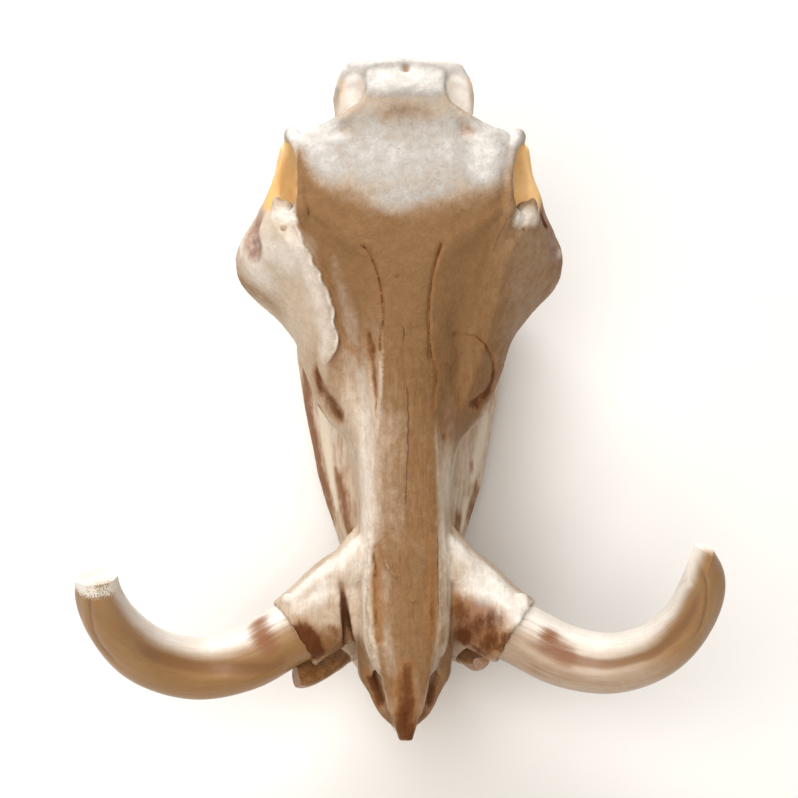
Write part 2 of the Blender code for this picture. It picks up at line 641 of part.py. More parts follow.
def make_tusk(name, route, side, sides, steps, colour):
    """One tusk: a flat root, a straight stretch in its socket, then its sweep."""
    tusk = limb(name, straight_root(route), side, sides=sides, steps=steps, round_ends=False)
    return finish(tusk, name, colour, 0.4)


def straight_root(route):
    """The route with a point added so that the root stays straight in its socket."""
    start, after = np.array(route[0]), np.array(route[1])
    return [tuple(start), tuple((start + after) / 2), tuple(after)] + route[2:]


make_cranium()
make_mandible()
for side, word in ((-1, "left"), (1, "right")):
    make_tusk(f"tusk_upper_{word}", tusk_route(side), side, TUSK_SIDES, TUSK_STEPS, IVORY)
    make_tusk(f"tusk_lower_{word}", lower_tusk_route(side), side, LOWER_TUSK_SIDES, LOWER_TUSK_STEPS, OLD_IVORY)
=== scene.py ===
"""The looks of a warthog skull with its lower jaw closed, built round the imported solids."""
import math

import bmesh
import bpy
import numpy as np
from mathutils import Matrix, Vector, noise


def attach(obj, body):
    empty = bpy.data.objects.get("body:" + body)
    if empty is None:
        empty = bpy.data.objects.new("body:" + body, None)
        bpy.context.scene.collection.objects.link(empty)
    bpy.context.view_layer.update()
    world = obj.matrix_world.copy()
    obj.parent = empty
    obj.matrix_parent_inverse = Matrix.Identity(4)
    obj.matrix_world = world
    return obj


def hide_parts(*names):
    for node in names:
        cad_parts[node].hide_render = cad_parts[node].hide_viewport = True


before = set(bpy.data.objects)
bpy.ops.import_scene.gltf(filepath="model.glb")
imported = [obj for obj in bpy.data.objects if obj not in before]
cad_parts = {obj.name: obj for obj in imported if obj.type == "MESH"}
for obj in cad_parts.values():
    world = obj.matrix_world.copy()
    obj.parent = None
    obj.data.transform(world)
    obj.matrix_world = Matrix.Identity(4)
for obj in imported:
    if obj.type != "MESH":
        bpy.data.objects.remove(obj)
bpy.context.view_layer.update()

bpy.ops.object.select_all(action="DESELECT")

# The upper skull: a dozen bones that have grown into one, dry and bleached cream, tan along the face and
# stained brown where earth clung to it. The face's tan and the brown are partly painted shade, and the pale
# cream partly painted light. Each bone is roughed out, all are joined under one even skin, and that skin is
# then worked with ridges, grooves, canals and chips. It rests on the jaw's two condyles.
MM = 0.001
TO_ORIGIN = (3.6, -193.0, 0.0)         # moves the model's box to the origin, in millimetres
GAP = 0.3                              # between pieces that touch
SIDES = (1, -1)                        # the viewer's right, then left
BITE_HEIGHT = 74.0
HINGE_HEIGHT = 150.0
PALATE_HEIGHT = 84.0
BONE_GRAIN = 0.95     # spacing of the even skin's points
SMOOTH_ROUNDS, SMOOTH_GRAIN = 4, 1.7         # so many rounds of smoothing on a skin of this spacing
MARK_SPACING, SEAM_SPACING = 1.2, 1.5        # between the places at which a mark or a seam is read
CRANIUM_FACES = 186000


def curve(*knots):
    """A smooth line through (place, value) knots that never overshoots them."""
    places, values = np.array(knots, float).T
    widths = np.diff(places)
    rises = np.diff(values) / widths
    slopes = np.zeros(len(places))
    slopes[0], slopes[-1] = rises[0], rises[-1]
    for knot in range(1, len(places) - 1):
        before, after = rises[knot - 1], rises[knot]
        if before * after > 0:
            slopes[knot] = 2 * before * after / (before + after)

    def read(place):
        place = min(max(place, places[0]), places[-1])
        knot = min(np.searchsorted(places, place, side="right"), len(places) - 1) - 1
        t = (place - places[knot]) / widths[knot]
        start = (1 + 2 * t) * (1 - t) ** 2 * values[knot] + t * (1 - t) ** 2 * widths[knot] * slopes[knot]
        end = t * t * (3 - 2 * t) * values[knot + 1] - t * t * (1 - t) * widths[knot] * slopes[knot + 1]
        return float(start + end)

    return read


def spline(points, count, closed=False):
    """Points read along a smooth line through the given ones, by their first three numbers."""
    points = np.array(points, float)
    if closed:
        points = np.vstack([points[-1:], points, points[:2]])
    spans = np.maximum(np.linalg.norm(np.diff(points[:, :3], axis=0), axis=1), 1e-6)
    knots = np.concatenate([[0], np.cumsum(spans)])
    rises = np.diff(points, axis=0) / spans[:, None]
    slopes = np.vstack([rises[:1], rises])
    before, after = spans[:-1, None], spans[1:, None]
    slopes[1:-1] = (rises[:-1] * after + rises[1:] * before) / (before + after)
    low, high = (knots[1], knots[-2]) if closed else (knots[0], knots[-1])
    line = []
    for place in np.linspace(low, high, count, endpoint=not closed):
        knot = min(max(np.searchsorted(knots, place, side="right") - 1, 0), len(spans) - 1)
        t = (place - knots[knot]) / spans[knot]
        line.append(
            (1 + 2 * t) * (1 - t) ** 2 * points[knot]
            + t * (1 - t) ** 2 * spans[knot] * slopes[knot]
            + t * t * (3 - 2 * t) * points[knot + 1]
            - t * t * (1 - t) * spans[knot] * slopes[knot + 1]
        )
    return np.array(line)


def to_scene(points):
    """Skull places (x, s, z) in millimetres, turned into the scene's metres.

    x goes to the right of the middle plane as a viewer in front sees it, s back from the tip of the
    nose and z up from the table.
    """
    return (np.array(points, float) + TO_ORIGIN) * MM


def pick(*pieces):
    """Selects these pieces alone, with the first of them active."""
    bpy.ops.object.select_all(action="DESELECT")
    for piece in pieces:
        piece.select_set(True)
    if pieces:
        bpy.context.view_layer.objects.active = pieces[0]


def settle(name):
    """The object just added, with this name and its place in its mesh."""
    piece = bpy.context.object
    bpy.ops.object.transform_apply()
    piece.name = piece.data.name = name
    return piece


def loft(name, rings):
    """A closed skin through rings of equally many points, for sections that no primitive has."""
    work = bmesh.new()
    rows = [[work.verts.new(point) for point in to_scene(ring)] for ring in rings]
    count = len(rows[0])
    for row, following in zip(rows, rows[1:]):
        for place in range(count):
            after = (place + 1) % count
            work.faces.new((row[place], row[after], following[after], following[place]))
    for row in (rows[0], rows[-1]):
        middle = work.verts.new(sum((vert.co for vert in row), Vector()) / count)
        for place in range(count):
            work.faces.new((row[place], row[(place + 1) % count], middle))
    bmesh.ops.recalc_face_normals(work, faces=work.faces)
    mesh = bpy.data.meshes.new(name)
    work.to_mesh(mesh)
    work.free()
    piece = bpy.data.objects.new(name, mesh)
    bpy.context.scene.collection.objects.link(piece)
    return piece


def oval(half, top, middle, bottom, upper=2.4, lower=2.4, count=48):
    """A ring of two half superellipses, joined at the widest height."""
    ring = []
    for step in range(count):
        across, rise = math.cos(math.tau * step / count), math.sin(math.tau * step / count)
        power, reach = (upper, top - middle) if rise > 0 else (lower, middle - bottom)
        ring.append((
            half * math.copysign(abs(across) ** (2 / power), across),
            middle + reach * math.copysign(abs(rise) ** (2 / power), rise),
        ))
    return ring


def stretch(name, start, end, step, section):
    """A symmetric bone along the skull: section(s) gives each ring's (x, z) points."""
    stations = np.linspace(start, end, max(int(round((end - start) / step)), 2) + 1)
    return loft(name, [[(x, s, z) for x, z in section(s)] for s in stations])


def bar(name, route, side=1, up=(0, 0, 1), sides=24, steps=20, round_ends=True):
    """A bar of bone along a route of (x, s, z, radius across, radius up): circles, bridged."""
    line = spline(route, steps + 1)
    line[:, 0] *= side
    up = Vector((up[0] * side, up[1], up[2]))
    rings = []
    for place, (x, s, z, across, rise) in enumerate(line):
        before, after = line[max(place - 1, 0)], line[min(place + 1, steps)]
        along = Vector(after[:3] - before[:3]).normalized()
        sideways = up.cross(along).normalized()
        turned = Matrix((sideways, along.cross(sideways), along)).transposed()
        ends = [(0, 1)]
        if round_ends and place in (0, steps):
            ends = [(0.94, 0.35), (0.8, 0.6), (0.45, 0.9), (0, 1)]
        if place == steps:
            ends.reverse()
        outward = -1 if place == 0 else 1
        for bulge, size in ends:
            centre = Vector((x, s, z)) + along * (outward * bulge * min(across, rise))
            rings.append((Vector(to_scene(centre)), turned, across * size * MM, rise / across))
    pick()
    for number, (centre, turned, radius, squash) in enumerate(rings):
        fill = "NGON" if number in (0, len(rings) - 1) else "NOTHING"
        bpy.ops.mesh.primitive_circle_add(
            vertices=sides, radius=radius, fill_type=fill, location=centre, rotation=turned.to_euler())
        if number == 0:
            piece = settle(name)
            bpy.ops.object.mode_set(mode="EDIT")
            bpy.ops.mesh.select_all(action="SELECT")
        bpy.ops.transform.resize(
            value=(1, squash, 1), center_override=centre, orient_matrix=turned, orient_type="GLOBAL",
            orient_matrix_type="GLOBAL")
    bpy.ops.mesh.select_all(action="SELECT")
    bpy.ops.mesh.bridge_edge_loops()
    bpy.ops.mesh.select_all(action="SELECT")
    bpy.ops.mesh.normals_make_consistent(inside=False)
    bpy.ops.object.mode_set(mode="OBJECT")
    return piece


def ribbon(name, stations, side=1, across=14, steps=48):
    """A bony plate along the skull: each station is s, thickness and (x, z) down its height."""
    places = [station[0] for station in stations]
    lines = np.array([(station[1],) + sum(station[2:], ()) for station in stations], float)
    curves = [curve(*zip(places, column)) for column in lines.T]
    rings = []
    for s in np.linspace(places[0], places[-1], steps + 1):
        values = [read(s) for read in curves]
        thick = values[0] / 2
        middle = spline([(x, z, 0) for x, z in zip(values[1::2], values[2::2])], across)
        along = np.gradient(middle, axis=0)
        along /= np.linalg.norm(along, axis=1)[:, None]
        outward = np.stack([-along[:, 1], along[:, 0]], axis=1)
        left = middle[:, :2] + outward * thick
        right = middle[:, :2] - outward * thick
        tip = middle[-1:, :2] + along[-1:, :2] * thick * 0.8
        root = middle[:1, :2] - along[:1, :2] * thick * 0.8
        rings.append([(x * side, s, z) for x, z in np.vstack([left, tip, right[::-1], root])])
    return loft(name, rings)


def lump(name, centre, radii, side=1, turn=(0, 0, 0)):
    """An egg-shaped swelling, turned by degrees about X, Y and Z."""
    x, s, z = centre
    spin = [math.radians(degrees * (1 if axis == "X" else side)) for axis, degrees in zip("XYZ", turn)]
    pick()
    bpy.ops.mesh.primitive_ico_sphere_add(
        subdivisions=4, radius=MM, location=to_scene((x * side, s, z)), rotation=spin, scale=radii)
    return settle(name)


def block(name, low, high):
    """A plain box between two corners, used as a cutter."""
    low, high = to_scene(low), to_scene(high)
    pick()
    bpy.ops.mesh.primitive_cube_add(size=1, location=(low + high) / 2, scale=high - low)
    return settle(name)


def apply_modifier(piece, kind, **settings):
    """Gives the piece a modifier with these settings and applies it."""
    modifier = piece.modifiers.new(kind.lower(), kind)
    for setting, value in settings.items():
        setattr(modifier, setting, value)
    with bpy.context.temp_override(object=piece, active_object=piece, selected_objects=[piece]):
        bpy.ops.object.modifier_apply(modifier=modifier.name)


def combine(piece, others, operation):
    """The piece joined with the others, or cut by them, and the others removed."""
    group = bpy.data.collections.new(piece.name + "_" + operation.lower())
    for other in others:
        group.objects.link(other)
    apply_modifier(piece, "BOOLEAN", operation=operation, operand_type="COLLECTION", collection=group,
                   solver="MANIFOLD")
    for other in list(others):
        bpy.data.objects.remove(other, do_unlink=True)
    bpy.data.collections.remove(group)
    return piece


def even_skin(piece):
    """One even skin over the joined bones, with their joins rounded about as much at any grain."""
    apply_modifier(piece, "REMESH", mode="VOXEL", voxel_size=BONE_GRAIN * MM)
    rounds = SMOOTH_ROUNDS * (SMOOTH_GRAIN / BONE_GRAIN) ** 2
    apply_modifier(piece, "SMOOTH", factor=0.5, iterations=max(2, round(rounds)))
    largest_body(piece)


def largest_body(piece):
    """Leaves only the largest closed surface of the piece."""
    work = bmesh.new()
    work.from_mesh(piece.data)
    left = set(work.faces)
    bodies = []
    while left:
        start = left.pop()
        body, edge = [start], [start]
        while edge:
            for side in edge.pop().edges:
                for other in side.link_faces:
                    if other in left:
                        left.remove(other)
                        body.append(other)
                        edge.append(other)
        bodies.append(body)
    bodies.sort(key=len)
    bmesh.ops.delete(work, geom=[face for body in bodies[:-1] for face in body], context="FACES")
    work.to_mesh(piece.data)
    work.free()


def both_sides(marks):
    """The marks, and the same ones mirrored to the other side."""
    return marks + [([(-x, *more) for x, *more in route], *rest) for route, *rest in marks]


def skull_points(piece):
    """Each vertex's place in skull millimetres, and its normal."""
    flat = np.empty(len(piece.data.vertices) * 3)
    piece.data.vertices.foreach_get("co", flat)
    points = flat.reshape(-1, 3) / MM - TO_ORIGIN
    piece.data.vertex_normals.foreach_get("vector", flat)
    return points, flat.reshape(-1, 3).copy()


def length_of(route):
    """How long the route is in straight lines from place to place."""
    return np.linalg.norm(np.diff(np.array(route, float)[:, :3], axis=0), axis=1).sum()


def nearness(points, route, reach):
    """How near each point is to a spot or a smooth route: 1 on it, and 0 from the reach on.

    A fourth number in the route's places scales the reach there, for marks that taper.
    """
    way = np.array(route, float)
    if way.shape[1] == 3:
        way = np.column_stack([way, np.ones(len(way))])
    if len(way) > 1:
        way = spline(way, max(8, int(length_of(way) / MARK_SPACING)))
    reach = np.ones(3) * reach
    margin = reach * way[:, 3].max()
    low, high = way[:, :3].min(axis=0) - margin, way[:, :3].max(axis=0) + margin
    close = np.all((points > low) & (points < high), axis=1)
    away = np.full(close.sum(), 1.0)
    for *spot, size in way:
        away = np.minimum(away, (((points[close] - spot) / (reach * max(size, 0.1))) ** 2).sum(axis=1))
    near = np.zeros(len(points))
    near[close] = (1 - away) ** 2
    return near


def push_out(piece, lift):
    """Moves each vertex out along its normal by so many millimetres."""
    points, normals = skull_points(piece)
    piece.data.vertices.foreach_set("co", to_scene(points + normals * lift[:, None]).ravel())
    piece.data.update()


def sculpt(piece, marks):
    """Raises or sinks the skin by so many millimetres round spots and along routes."""
    points, _ = skull_points(piece)
    push_out(piece, sum(height * nearness(points, route, reach) for route, reach, height in marks))


def roughen(piece, marks, size):
    """Breaks the skin up with uneven bumps of about that size, where the marks say."""
    points, normals = skull_points(piece)
    for route, reach, height in marks:
        near = nearness(points, route, reach)
        for index in np.nonzero(near > 0.02)[0]:
            ripple = noise.fractal(Vector(points[index] / size), 1.0, 2.0, 3)
            points[index] += normals[index] * (height * near[index] ** 0.5 * ripple)
    piece.data.vertices.foreach_set("co", to_scene(points).ravel())
    piece.data.update()


def uneven(piece, size, height):
    """A faint waviness over the whole skin, as grown bone has."""
    clouds = bpy.data.textures.new(piece.name + "_waves", "CLOUDS")
    clouds.noise_scale = size * MM
    clouds.noise_depth = 3
    apply_modifier(piece, "DISPLACE", texture=clouds, texture_coords="LOCAL", strength=height * MM)


def thin_out(piece, faces):
    """The same surface with about so many triangles."""
    piece.data.calc_loop_triangles()
    share = faces / len(piece.data.loop_triangles)
    if share < 1:
        apply_modifier(piece, "DECIMATE", ratio=share)


def ramp(value, start, end):
    """Goes from 0 to 1 as the value goes from the start to the end, which may be the lower one."""
    return np.clip((value - start) / (end - start), 0, 1)


def write_mark(piece, name, values):
    """Keeps one number for each vertex, which the finish reads by its name."""
    layer = piece.data.attributes.new(name, "FLOAT", "POINT")
    layer.data.foreach_set("value", np.asarray(values, np.float32))


def paint(piece, name, marks, ground=0.0):
    """Keeps how strongly the marks colour each vertex, over what it has already."""
    points, _ = skull_points(piece)
    depth = np.zeros(len(points)) + ground
    for route, reach, strength in marks:
        depth = np.maximum(depth, strength * nearness(points, route, reach))
    write_mark(piece, name, depth)


def paint_relief(piece, name, radius):
    """Keeps how far each vertex stands over the skin smoothed over that radius, in millimetres."""
    points, normals = skull_points(piece)
    pairs = np.empty(len(piece.data.edges) * 2, np.int32)
    piece.data.edges.foreach_get("vertices", pairs)
    first, second = pairs.reshape(-1, 2).T
    count = len(points)
    spacing = np.linalg.norm(points[first] - points[second], axis=1).mean()
    rounds = max(2, int((radius / spacing) ** 2 * 1.5))
    neighbours = np.bincount(pairs, minlength=count)[:, None]
    pull = 0.6
    smooth = points.copy()
    for _ in range(rounds):
        total = np.stack([
            np.bincount(first, smooth[second, axis], count) + np.bincount(second, smooth[first, axis], count)
            for axis in range(3)
        ], axis=1)
        smooth += (total / neighbours - smooth) * pull
    write_mark(piece, name, ((points - smooth) * normals).sum(axis=1))


def dress(piece, material):
    """Gives the piece its finish and smooth shading."""
    piece.data.materials.clear()
    piece.data.materials.append(material)
    piece.data.shade_smooth()


def paint_seams(piece, name, routes, reach=5.0):
    """Keeps the signed distance to the nearest seam between two bones, and how near it is."""
    points, normals = skull_points(piece)
    nearest = np.full(len(points), 1e6)
    beside = np.full(len(points), 50.0)
    for route in routes:
        route = [place[:3] for place in route]
        way = spline(route, max(12, int(length_of(route) / SEAM_SPACING)))
        tangents = np.gradient(way, axis=0)
        tangents /= np.linalg.norm(tangents, axis=1)[:, None]
        for spot, tangent in zip(way, tangents):
            offset = points - spot
            away = (offset ** 2).sum(axis=1)
            closer = away < nearest
            across = np.cross(tangent, normals[closer])
            beside[closer] = (offset[closer] * across).sum(axis=1)
            nearest[closer] = away[closer]
    write_mark(piece, name, beside)
    write_mark(piece, name + "_near", np.clip(1 - np.sqrt(nearest) / reach, 0, 1))


# Profile lines of the upper skull, each read at s
ROOF = curve(
    (-8, 113), (0, 116), (20, 124), (57, 135), (96, 142.5), (134, 149), (172, 158), (210, 170), (240, 182),
    (268, 196), (296, 208), (315, 214), (335, 218), (345, 220), (352, 223.5), (360, 229), (367, 234),
    (376, 237), (386, 236),
)
NASAL_HALF = curve(
    (-8, 2.2), (0, 4.2), (8, 7.5), (22, 11.5), (38, 15), (57, 18), (78, 20), (134, 19.5), (200, 17.5),
    (245, 21), (262, 27), (276, 38), (290, 50), (304, 58),
)
NASAL_DROP = curve((30, 3), (134, 4), (200, 5), (245, 7), (276, 9), (304, 10))
CREST_HALF = curve(
    (36, 15), (43, 19.5), (50, 23), (60, 26), (96, 26), (134, 26), (165, 27), (188, 32), (205, 39),
    (218, 45), (230, 48), (250, 50), (268, 56), (288, 64), (304, 69),
)
CREST_HEIGHT = curve(
    (36, 107), (43, 113), (50, 118), (60, 122), (96, 128), (134, 132), (165, 137), (188, 140), (208, 143),
    (230, 153), (250, 167), (268, 181), (288, 193), (304, 198),
)
NASAL_ROUND = curve((240, 0.3), (290, 0.15))
FOSSA_DEPTH = curve((110, 0), (165, 2), (200, 6), (222, 9), (245, 7), (265, 4), (285, 1), (304, 0))
CHEEK_HALF = curve(
    (30, 23), (40, 26), (57, 29), (80, 29.5), (134, 28.5), (160, 29), (180, 33), (196, 41), (215, 50),
    (240, 55), (262, 57), (304, 56),
)
CHEEK_HEIGHT = curve((30, 98), (57, 106), (134, 110), (190, 112), (240, 122), (304, 150))
PALATE_HALF = curve((30, 16), (60, 21), (134, 24), (180, 30), (260, 32), (285, 26), (304, 20))
PALATE_LINE = curve(
    (30, 79), (60, 81), (100, PALATE_HEIGHT), (262, PALATE_HEIGHT + 1), (285, 96), (304, 112),
)
BROW_HALF = curve(
    (272, 18), (284, 34), (294, 50), (302, 58), (308, 60), (318, 61.5), (336, 63.5), (346, 63), (352, 50),
    (357, 38), (362, 26),
)


def face_ring(s):
    """The muzzle's section: nasal roof, hollow, cheek crest, cheek wall and palate."""
    top = ROOF(s)
    edge, edge_height = NASAL_HALF(s), top - NASAL_DROP(s)
    crest, crest_height = CREST_HALF(s), CREST_HEIGHT(s)
    hollow = ((edge + crest) / 2, (edge_height + crest_height) / 2 + 2 - FOSSA_DEPTH(s))
    palate, base = PALATE_HALF(s), PALATE_LINE(s)
    half = [
        (0, top), (edge * 0.62, top - NASAL_DROP(s) * NASAL_ROUND(s)), (edge, edge_height), hollow,
        (crest, crest_height), (CHEEK_HALF(s), CHEEK_HEIGHT(s)), (palate, base + 3), (palate * 0.7, base),
        (0, base + 2),
    ]
    ring = half + [(-x, z) for x, z in reversed(half[1:-1])]
    return [(x, z) for x, z, _ in spline([(x, z, 0) for x, z in ring], 96, closed=True)]


def cranium_pieces():
    """The bones along the middle of the upper skull, before they are fused."""
    nasal_depth = curve((-8, 7), (22, 10), (60, 14))
    premaxilla_top = curve((12, 90), (27, 99), (45, 112), (66, 118))
    premaxilla_half = curve((12, 6), (21, 15.5), (34, 22.5), (46, 28.5), (66, 28))
    premaxilla_base = curve((12, 77), (25, 73), (66, 79))
    parietal_half = curve((340, 60), (346, 52), (353, 38), (358, 30), (364, 25), (372, 21), (380, 23),
                          (384, 27))
    parietal_depth = curve((340, 36), (364, 34), (384, 13))
    occiput_half = curve((124, 20), (140, 36), (160, 44), (176, 42), (190, 40), (205, 43), (221, 41),
                         (236, 34))
    occiput_middle = curve((124, 343), (150, 350), (175, 358), (205, 370), (225, 377), (236, 380.5))
    occiput_depth = curve((124, 8), (180, 8), (205, 5), (236, 4))
    pieces = [
        stretch("face", 38, 304, 3, face_ring),
        stretch("nasals", 1, 62, 2, lambda s: oval(
            NASAL_HALF(s), ROOF(s), ROOF(s) - nasal_depth(s) * 0.6, ROOF(s) - nasal_depth(s), 2.2, 2)),
        stretch("premaxilla", 12, 66, 3, lambda s: oval(
            premaxilla_half(s), premaxilla_top(s), 92, premaxilla_base(s), 2.6, 3)),
        stretch("forehead", 272, 362, 2, lambda s: oval(
            BROW_HALF(s), ROOF(s), ROOF(s) - 10, ROOF(s) - 26, 2.5, 2.2)),
        stretch("braincase", 276, 370, 4, lambda s: oval(36, ROOF(s) - 6, 172, 126, 2.4, 2.6)),
        stretch("parietals", 340, 383, 2, lambda s: oval(
            parietal_half(s), ROOF(s), ROOF(s) - 8, ROOF(s) - parietal_depth(s), 2.6, 2.2)),
        stretch("skull_base", 285, 362, 4, lambda s: oval(15, 136, 124, 114, 2.6, 2.4)),
    ]
    pieces.append(loft("occiput", [
        [(x, occiput_middle(z) + depth, z)
         for x, depth in oval(occiput_half(z), occiput_depth(z), 0, -occiput_depth(z), 1.9, 1.9)]
        for z in np.linspace(124, 236, 33)
    ]))
    pieces.append(bar("nuchal_crest", [(-33, 380.5, 234.5, 2.2, 2.2), (-23, 381.2, 235.8, 3, 2.8),
                                       (-12, 381.5, 235.5, 4, 3.5), (0, 381, 234.5, 4, 3.5),
                                       (12, 381.5, 235.5, 4, 3.5), (23, 381.2, 235.8, 3, 2.8),
                                       (30, 380.5, 234.5, 2.2, 2.2)]))
    for side in SIDES:
        pieces += cranium_side(side)
    return pieces


def cranium_side(side):
    """The bones on one side of the upper skull, whose cheeks bulge unequally."""
    bulge = 4 if side < 0 else -1
    narrow = 0 if side < 0 else 2.5
    spread = curve((252, 0), (272, 0.3), (285, 1), (300, 1), (314, 0.5), (327, 0))
    plate = [
        (172, 8, (20, 134), (22, 126), (22, 116), (20, 104)),
        (188, 10, (26, 138), (31, 128), (33, 116), (29, 100)),
        (205, 12, (34, 142), (42, 130), (46, 116), (41, 99)),
        (226, 13, (42, 150), (51, 137), (55, 120), (50, 100)),
        (248, 13, (49, 165), (58, 150), (62, 128), (58, 104)),
        (268, 12, (55, 179), (69, 160), (77.5, 134), (72, 108)),
        (285, 12, (63, 189), (82, 167), (94, 141), (86, 111)),
        (297, 11, (71, 188), (86, 168), (96, 143), (88, 114)),
        (312, 9, (78, 174), (86, 164), (91, 148), (83, 124)),
        (327, 8, (80, 171), (83, 163), (83.5, 151), (76, 133)),
        (341, 8, (75, 177), (77, 168), (76.5, 157), (71, 143)),
        (352, 8, (72, 185), (74, 177), (73.5, 167), (70, 153)),
        (358, 7, (69, 188), (70, 181), (69, 172), (66, 160)),
    ]
    cheekbone = ribbon("cheekbone", [
        (s, thick, *((x + bulge * spread(s), z) for x, z in spots)) for s, thick, *spots in plate
    ], side)
    return [
        cheekbone,
        ribbon("eye_floor", [
            (294, 10, (48, 164), (60, 167), (70, 173), (77, 180)),
            (312, 8, (44, 158), (58, 159), (70, 163), (80, 170)),
            (330, 5, (42, 154), (57, 158), (69, 164), (79.5, 174)),
            (342, 4, (46, 158), (59, 166), (68, 174), (75, 186)),
            (351, 4, (56, 170), (63, 180), (68, 190), (71.5, 200)),
        ], side, steps=24),
        ribbon("crest_cup", [
            (350, 6, (20, 206), (28, 192), (35, 184), (39, 180)),
            (360, 5, (20, 216), (29, 202), (37, 196), (42, 196)),
            (368, 5, (20, 225), (28, 211), (36, 205), (41 - narrow, 207)),
            (376, 4.5, (20, 234), (28, 223), (34, 219), (39 - narrow, 222)),
            (381, 3.5, (16, 236), (24, 231), (29, 228), (33 - narrow, 230)),
        ], side, steps=24),
        bar("cheek_post", [(75, 345, 176, 4, 5), (74, 350, 187, 3, 3)], side, up=(0, 1, 0)),
        bar("temple_root", [(70, 347, 169, 6, 10), (56, 347, 165, 12, 12), (34, 344, 160, 14, 14)], side),
        lump("hinge_pad", (60, 335, 158), (19, 13, 10), side),
        bar("temple_crest", [(66, 352, 178, 4, 5), (53, 359, 181, 4, 6), (42, 366, 189, 4, 6)], side),
        bar("crest_wing", [(26, 381, 235, 2.6, 2.4), (34 - narrow, 380, 233, 2, 2.4),
                           (38.5 - narrow, 376.5, 226, 1.8, 2.6), (41.5 - narrow, 372, 216, 1.8, 3),
                           (41.2 - narrow, 368, 205, 1.9, 3.2), (38.5 - narrow, 364.5, 195, 2.4, 4),
                           (36, 359, 178, 4, 5)], side, up=(0, 1, 0)),
        bar("tusk_socket", [(12, 104, 106, 24, 18), (36, 89, 104, 27, 21), (54, 76, 102.4, 24, 22),
                            (67, 67, 102.4, 22.5, 22.5)], side, sides=40, round_ends=False),
        bar("socket_ridge", [(24, 128, 119, 5, 6), (40, 106, 117, 7, 8), (58, 87.5, 117, 7, 8),
                             (69, 79, 115, 5, 6)], side),
        bar("socket_shoulder", [(14, 118, 128, 12, 9), (32, 102, 122, 12, 9), (50, 88, 116, 10, 8)], side),
        lump("condyle", (15, 360, 138), (11, 12, 13), side, (20, 0, 15)),
        bar("neck_process", [(34, 352, 158, 8, 6), (35, 350, 128, 6, 6), (33, 344, 100, 5, 4),
                             (32, 340, 80, 3, 3)], side, up=(0, 1, 0)),
        lump("ear_capsule", (27, 334, 118), (9, 14, 15), side),
        bar("wing_of_the_palate", [(17, 268, 96, 4, 10), (18, 285, 100, 3, 15), (19, 302, 108, 3, 17),
                                   (20, 318, 120, 4, 12)], side),
        lump("tooth_bone", (29, 262, 100), (13, 22, 16), side),
    ]


def cranium_rims(side):
    """Thin edges that stand over the openings, joined on after those are cut."""
    return [
        bar("brow_rim", [(60, 288, 190, 3, 4), (62, 304, 201, 3, 4), (62.5, 325, 206, 2.5, 3.5),
                         (65, 340, 208.5, 3, 4), (68.5, 349, 207, 4, 4.5), (71, 351.5, 198, 3, 3)], side),
        lump("tear_bone", (74, 305, 184), (8, 11, 9), side),
        lump("tear_spike", (78, 311, 186), (3, 6, 7), side, (-20, 0, 0)),
        lump("rim_knob", (69.5, 83, 119.5), (5, 4.5, 3), side),
    ]


def cranium_openings():
    """Where the upper skull is open: nose, eyes, throat, neck and face canals."""
    openings = [
        bar("nose", [(0, -10, 92, 15, 12), (0, 8, 99, 16, 11), (0, 24, 104, 17.5, 12),
                     (0, 36, 107, 19.8, 13), (0, 48, 110, 18, 13), (0, 82, 113, 11, 12)], sides=32, steps=28),
        bar("throat", [(0, 315, 92, 13, 9), (0, 290, 99, 13, 10), (0, 262, 102, 10, 8)]),
        bar("neck", [(0, 380, 146, 12, 11), (0, 350, 150, 12, 11), (0, 325, 158, 16, 15)]),
        bar("socket_gap", [(-38, 90, 128, 2, 5), (-36, 76, 121, 2.6, 8), (-34, 60, 110, 3.4, 12),
                           (-33, 44, 98, 4.5, 14)]),
    ]
    for side, low in ((1, 0), (-1, 6)):
        openings += [
            bar("eye", [(104, 324, 197, 19, 18), (76, 323, 194, 18, 16), (50, 318, 188, 15, 14)], side,
                sides=32),
            bar("face_canal", [(62, 184, 112 - low, 5, 5), (50, 206, 119 - low, 5, 5),
                               (38, 230, 126 - low, 4, 4)], side),
            bar("ear", [(66, 366, 172, 3.5, 3.5), (46, 348, 160, 3, 3)], side),
        ]
    return openings


def radii(route, thick, squash):
    """The route with a last number that was a share of the thickness turned into two radii."""
    return [(x, s, z, thick * size, thick * size * squash) for x, s, z, size in route]


def tusk_route(side):
    """An upper tusk's middle line with its radii, from its root in the socket."""
    left = [(94, 52.0, 102, 1.0), (122, 45.0, 105, 0.98), (149, 48.0, 122, 0.93), (167, 59.5, 150, 0.83),
            (173.5, 74.0, 180, 0.68), (173, 78.8, 189.5, 0.62), (172, 84, 200, 0.56)]
    right = [(94, 53.5, 102, 1.0), (121, 47.0, 107, 0.96), (146, 50.0, 126, 0.88), (163, 64.0, 154, 0.78),
             (167.5, 80.0, 182, 0.64), (163, 90.0, 204, 0.34)]
    root = [(52, 74.3, 101.6, 1.0), (70, 65.8, 102, 1.0)]
    return radii(root + (right if side > 0 else left), 19.0, 0.97)


def socket(route, side, length):
    """A straight cutter round a tusk's root, wider and deeper than it by the gap."""
    start, after = Vector(route[0][:3]), Vector(route[1][:3])
    along = (after - start).normalized()
    inner, outer = start - along * GAP, start + along * length
    size = (route[0][3] + GAP, route[0][4] + GAP)
    return bar("socket", [(*inner, *size), (*outer, *size)], side, sides=48, steps=1, round_ends=False)


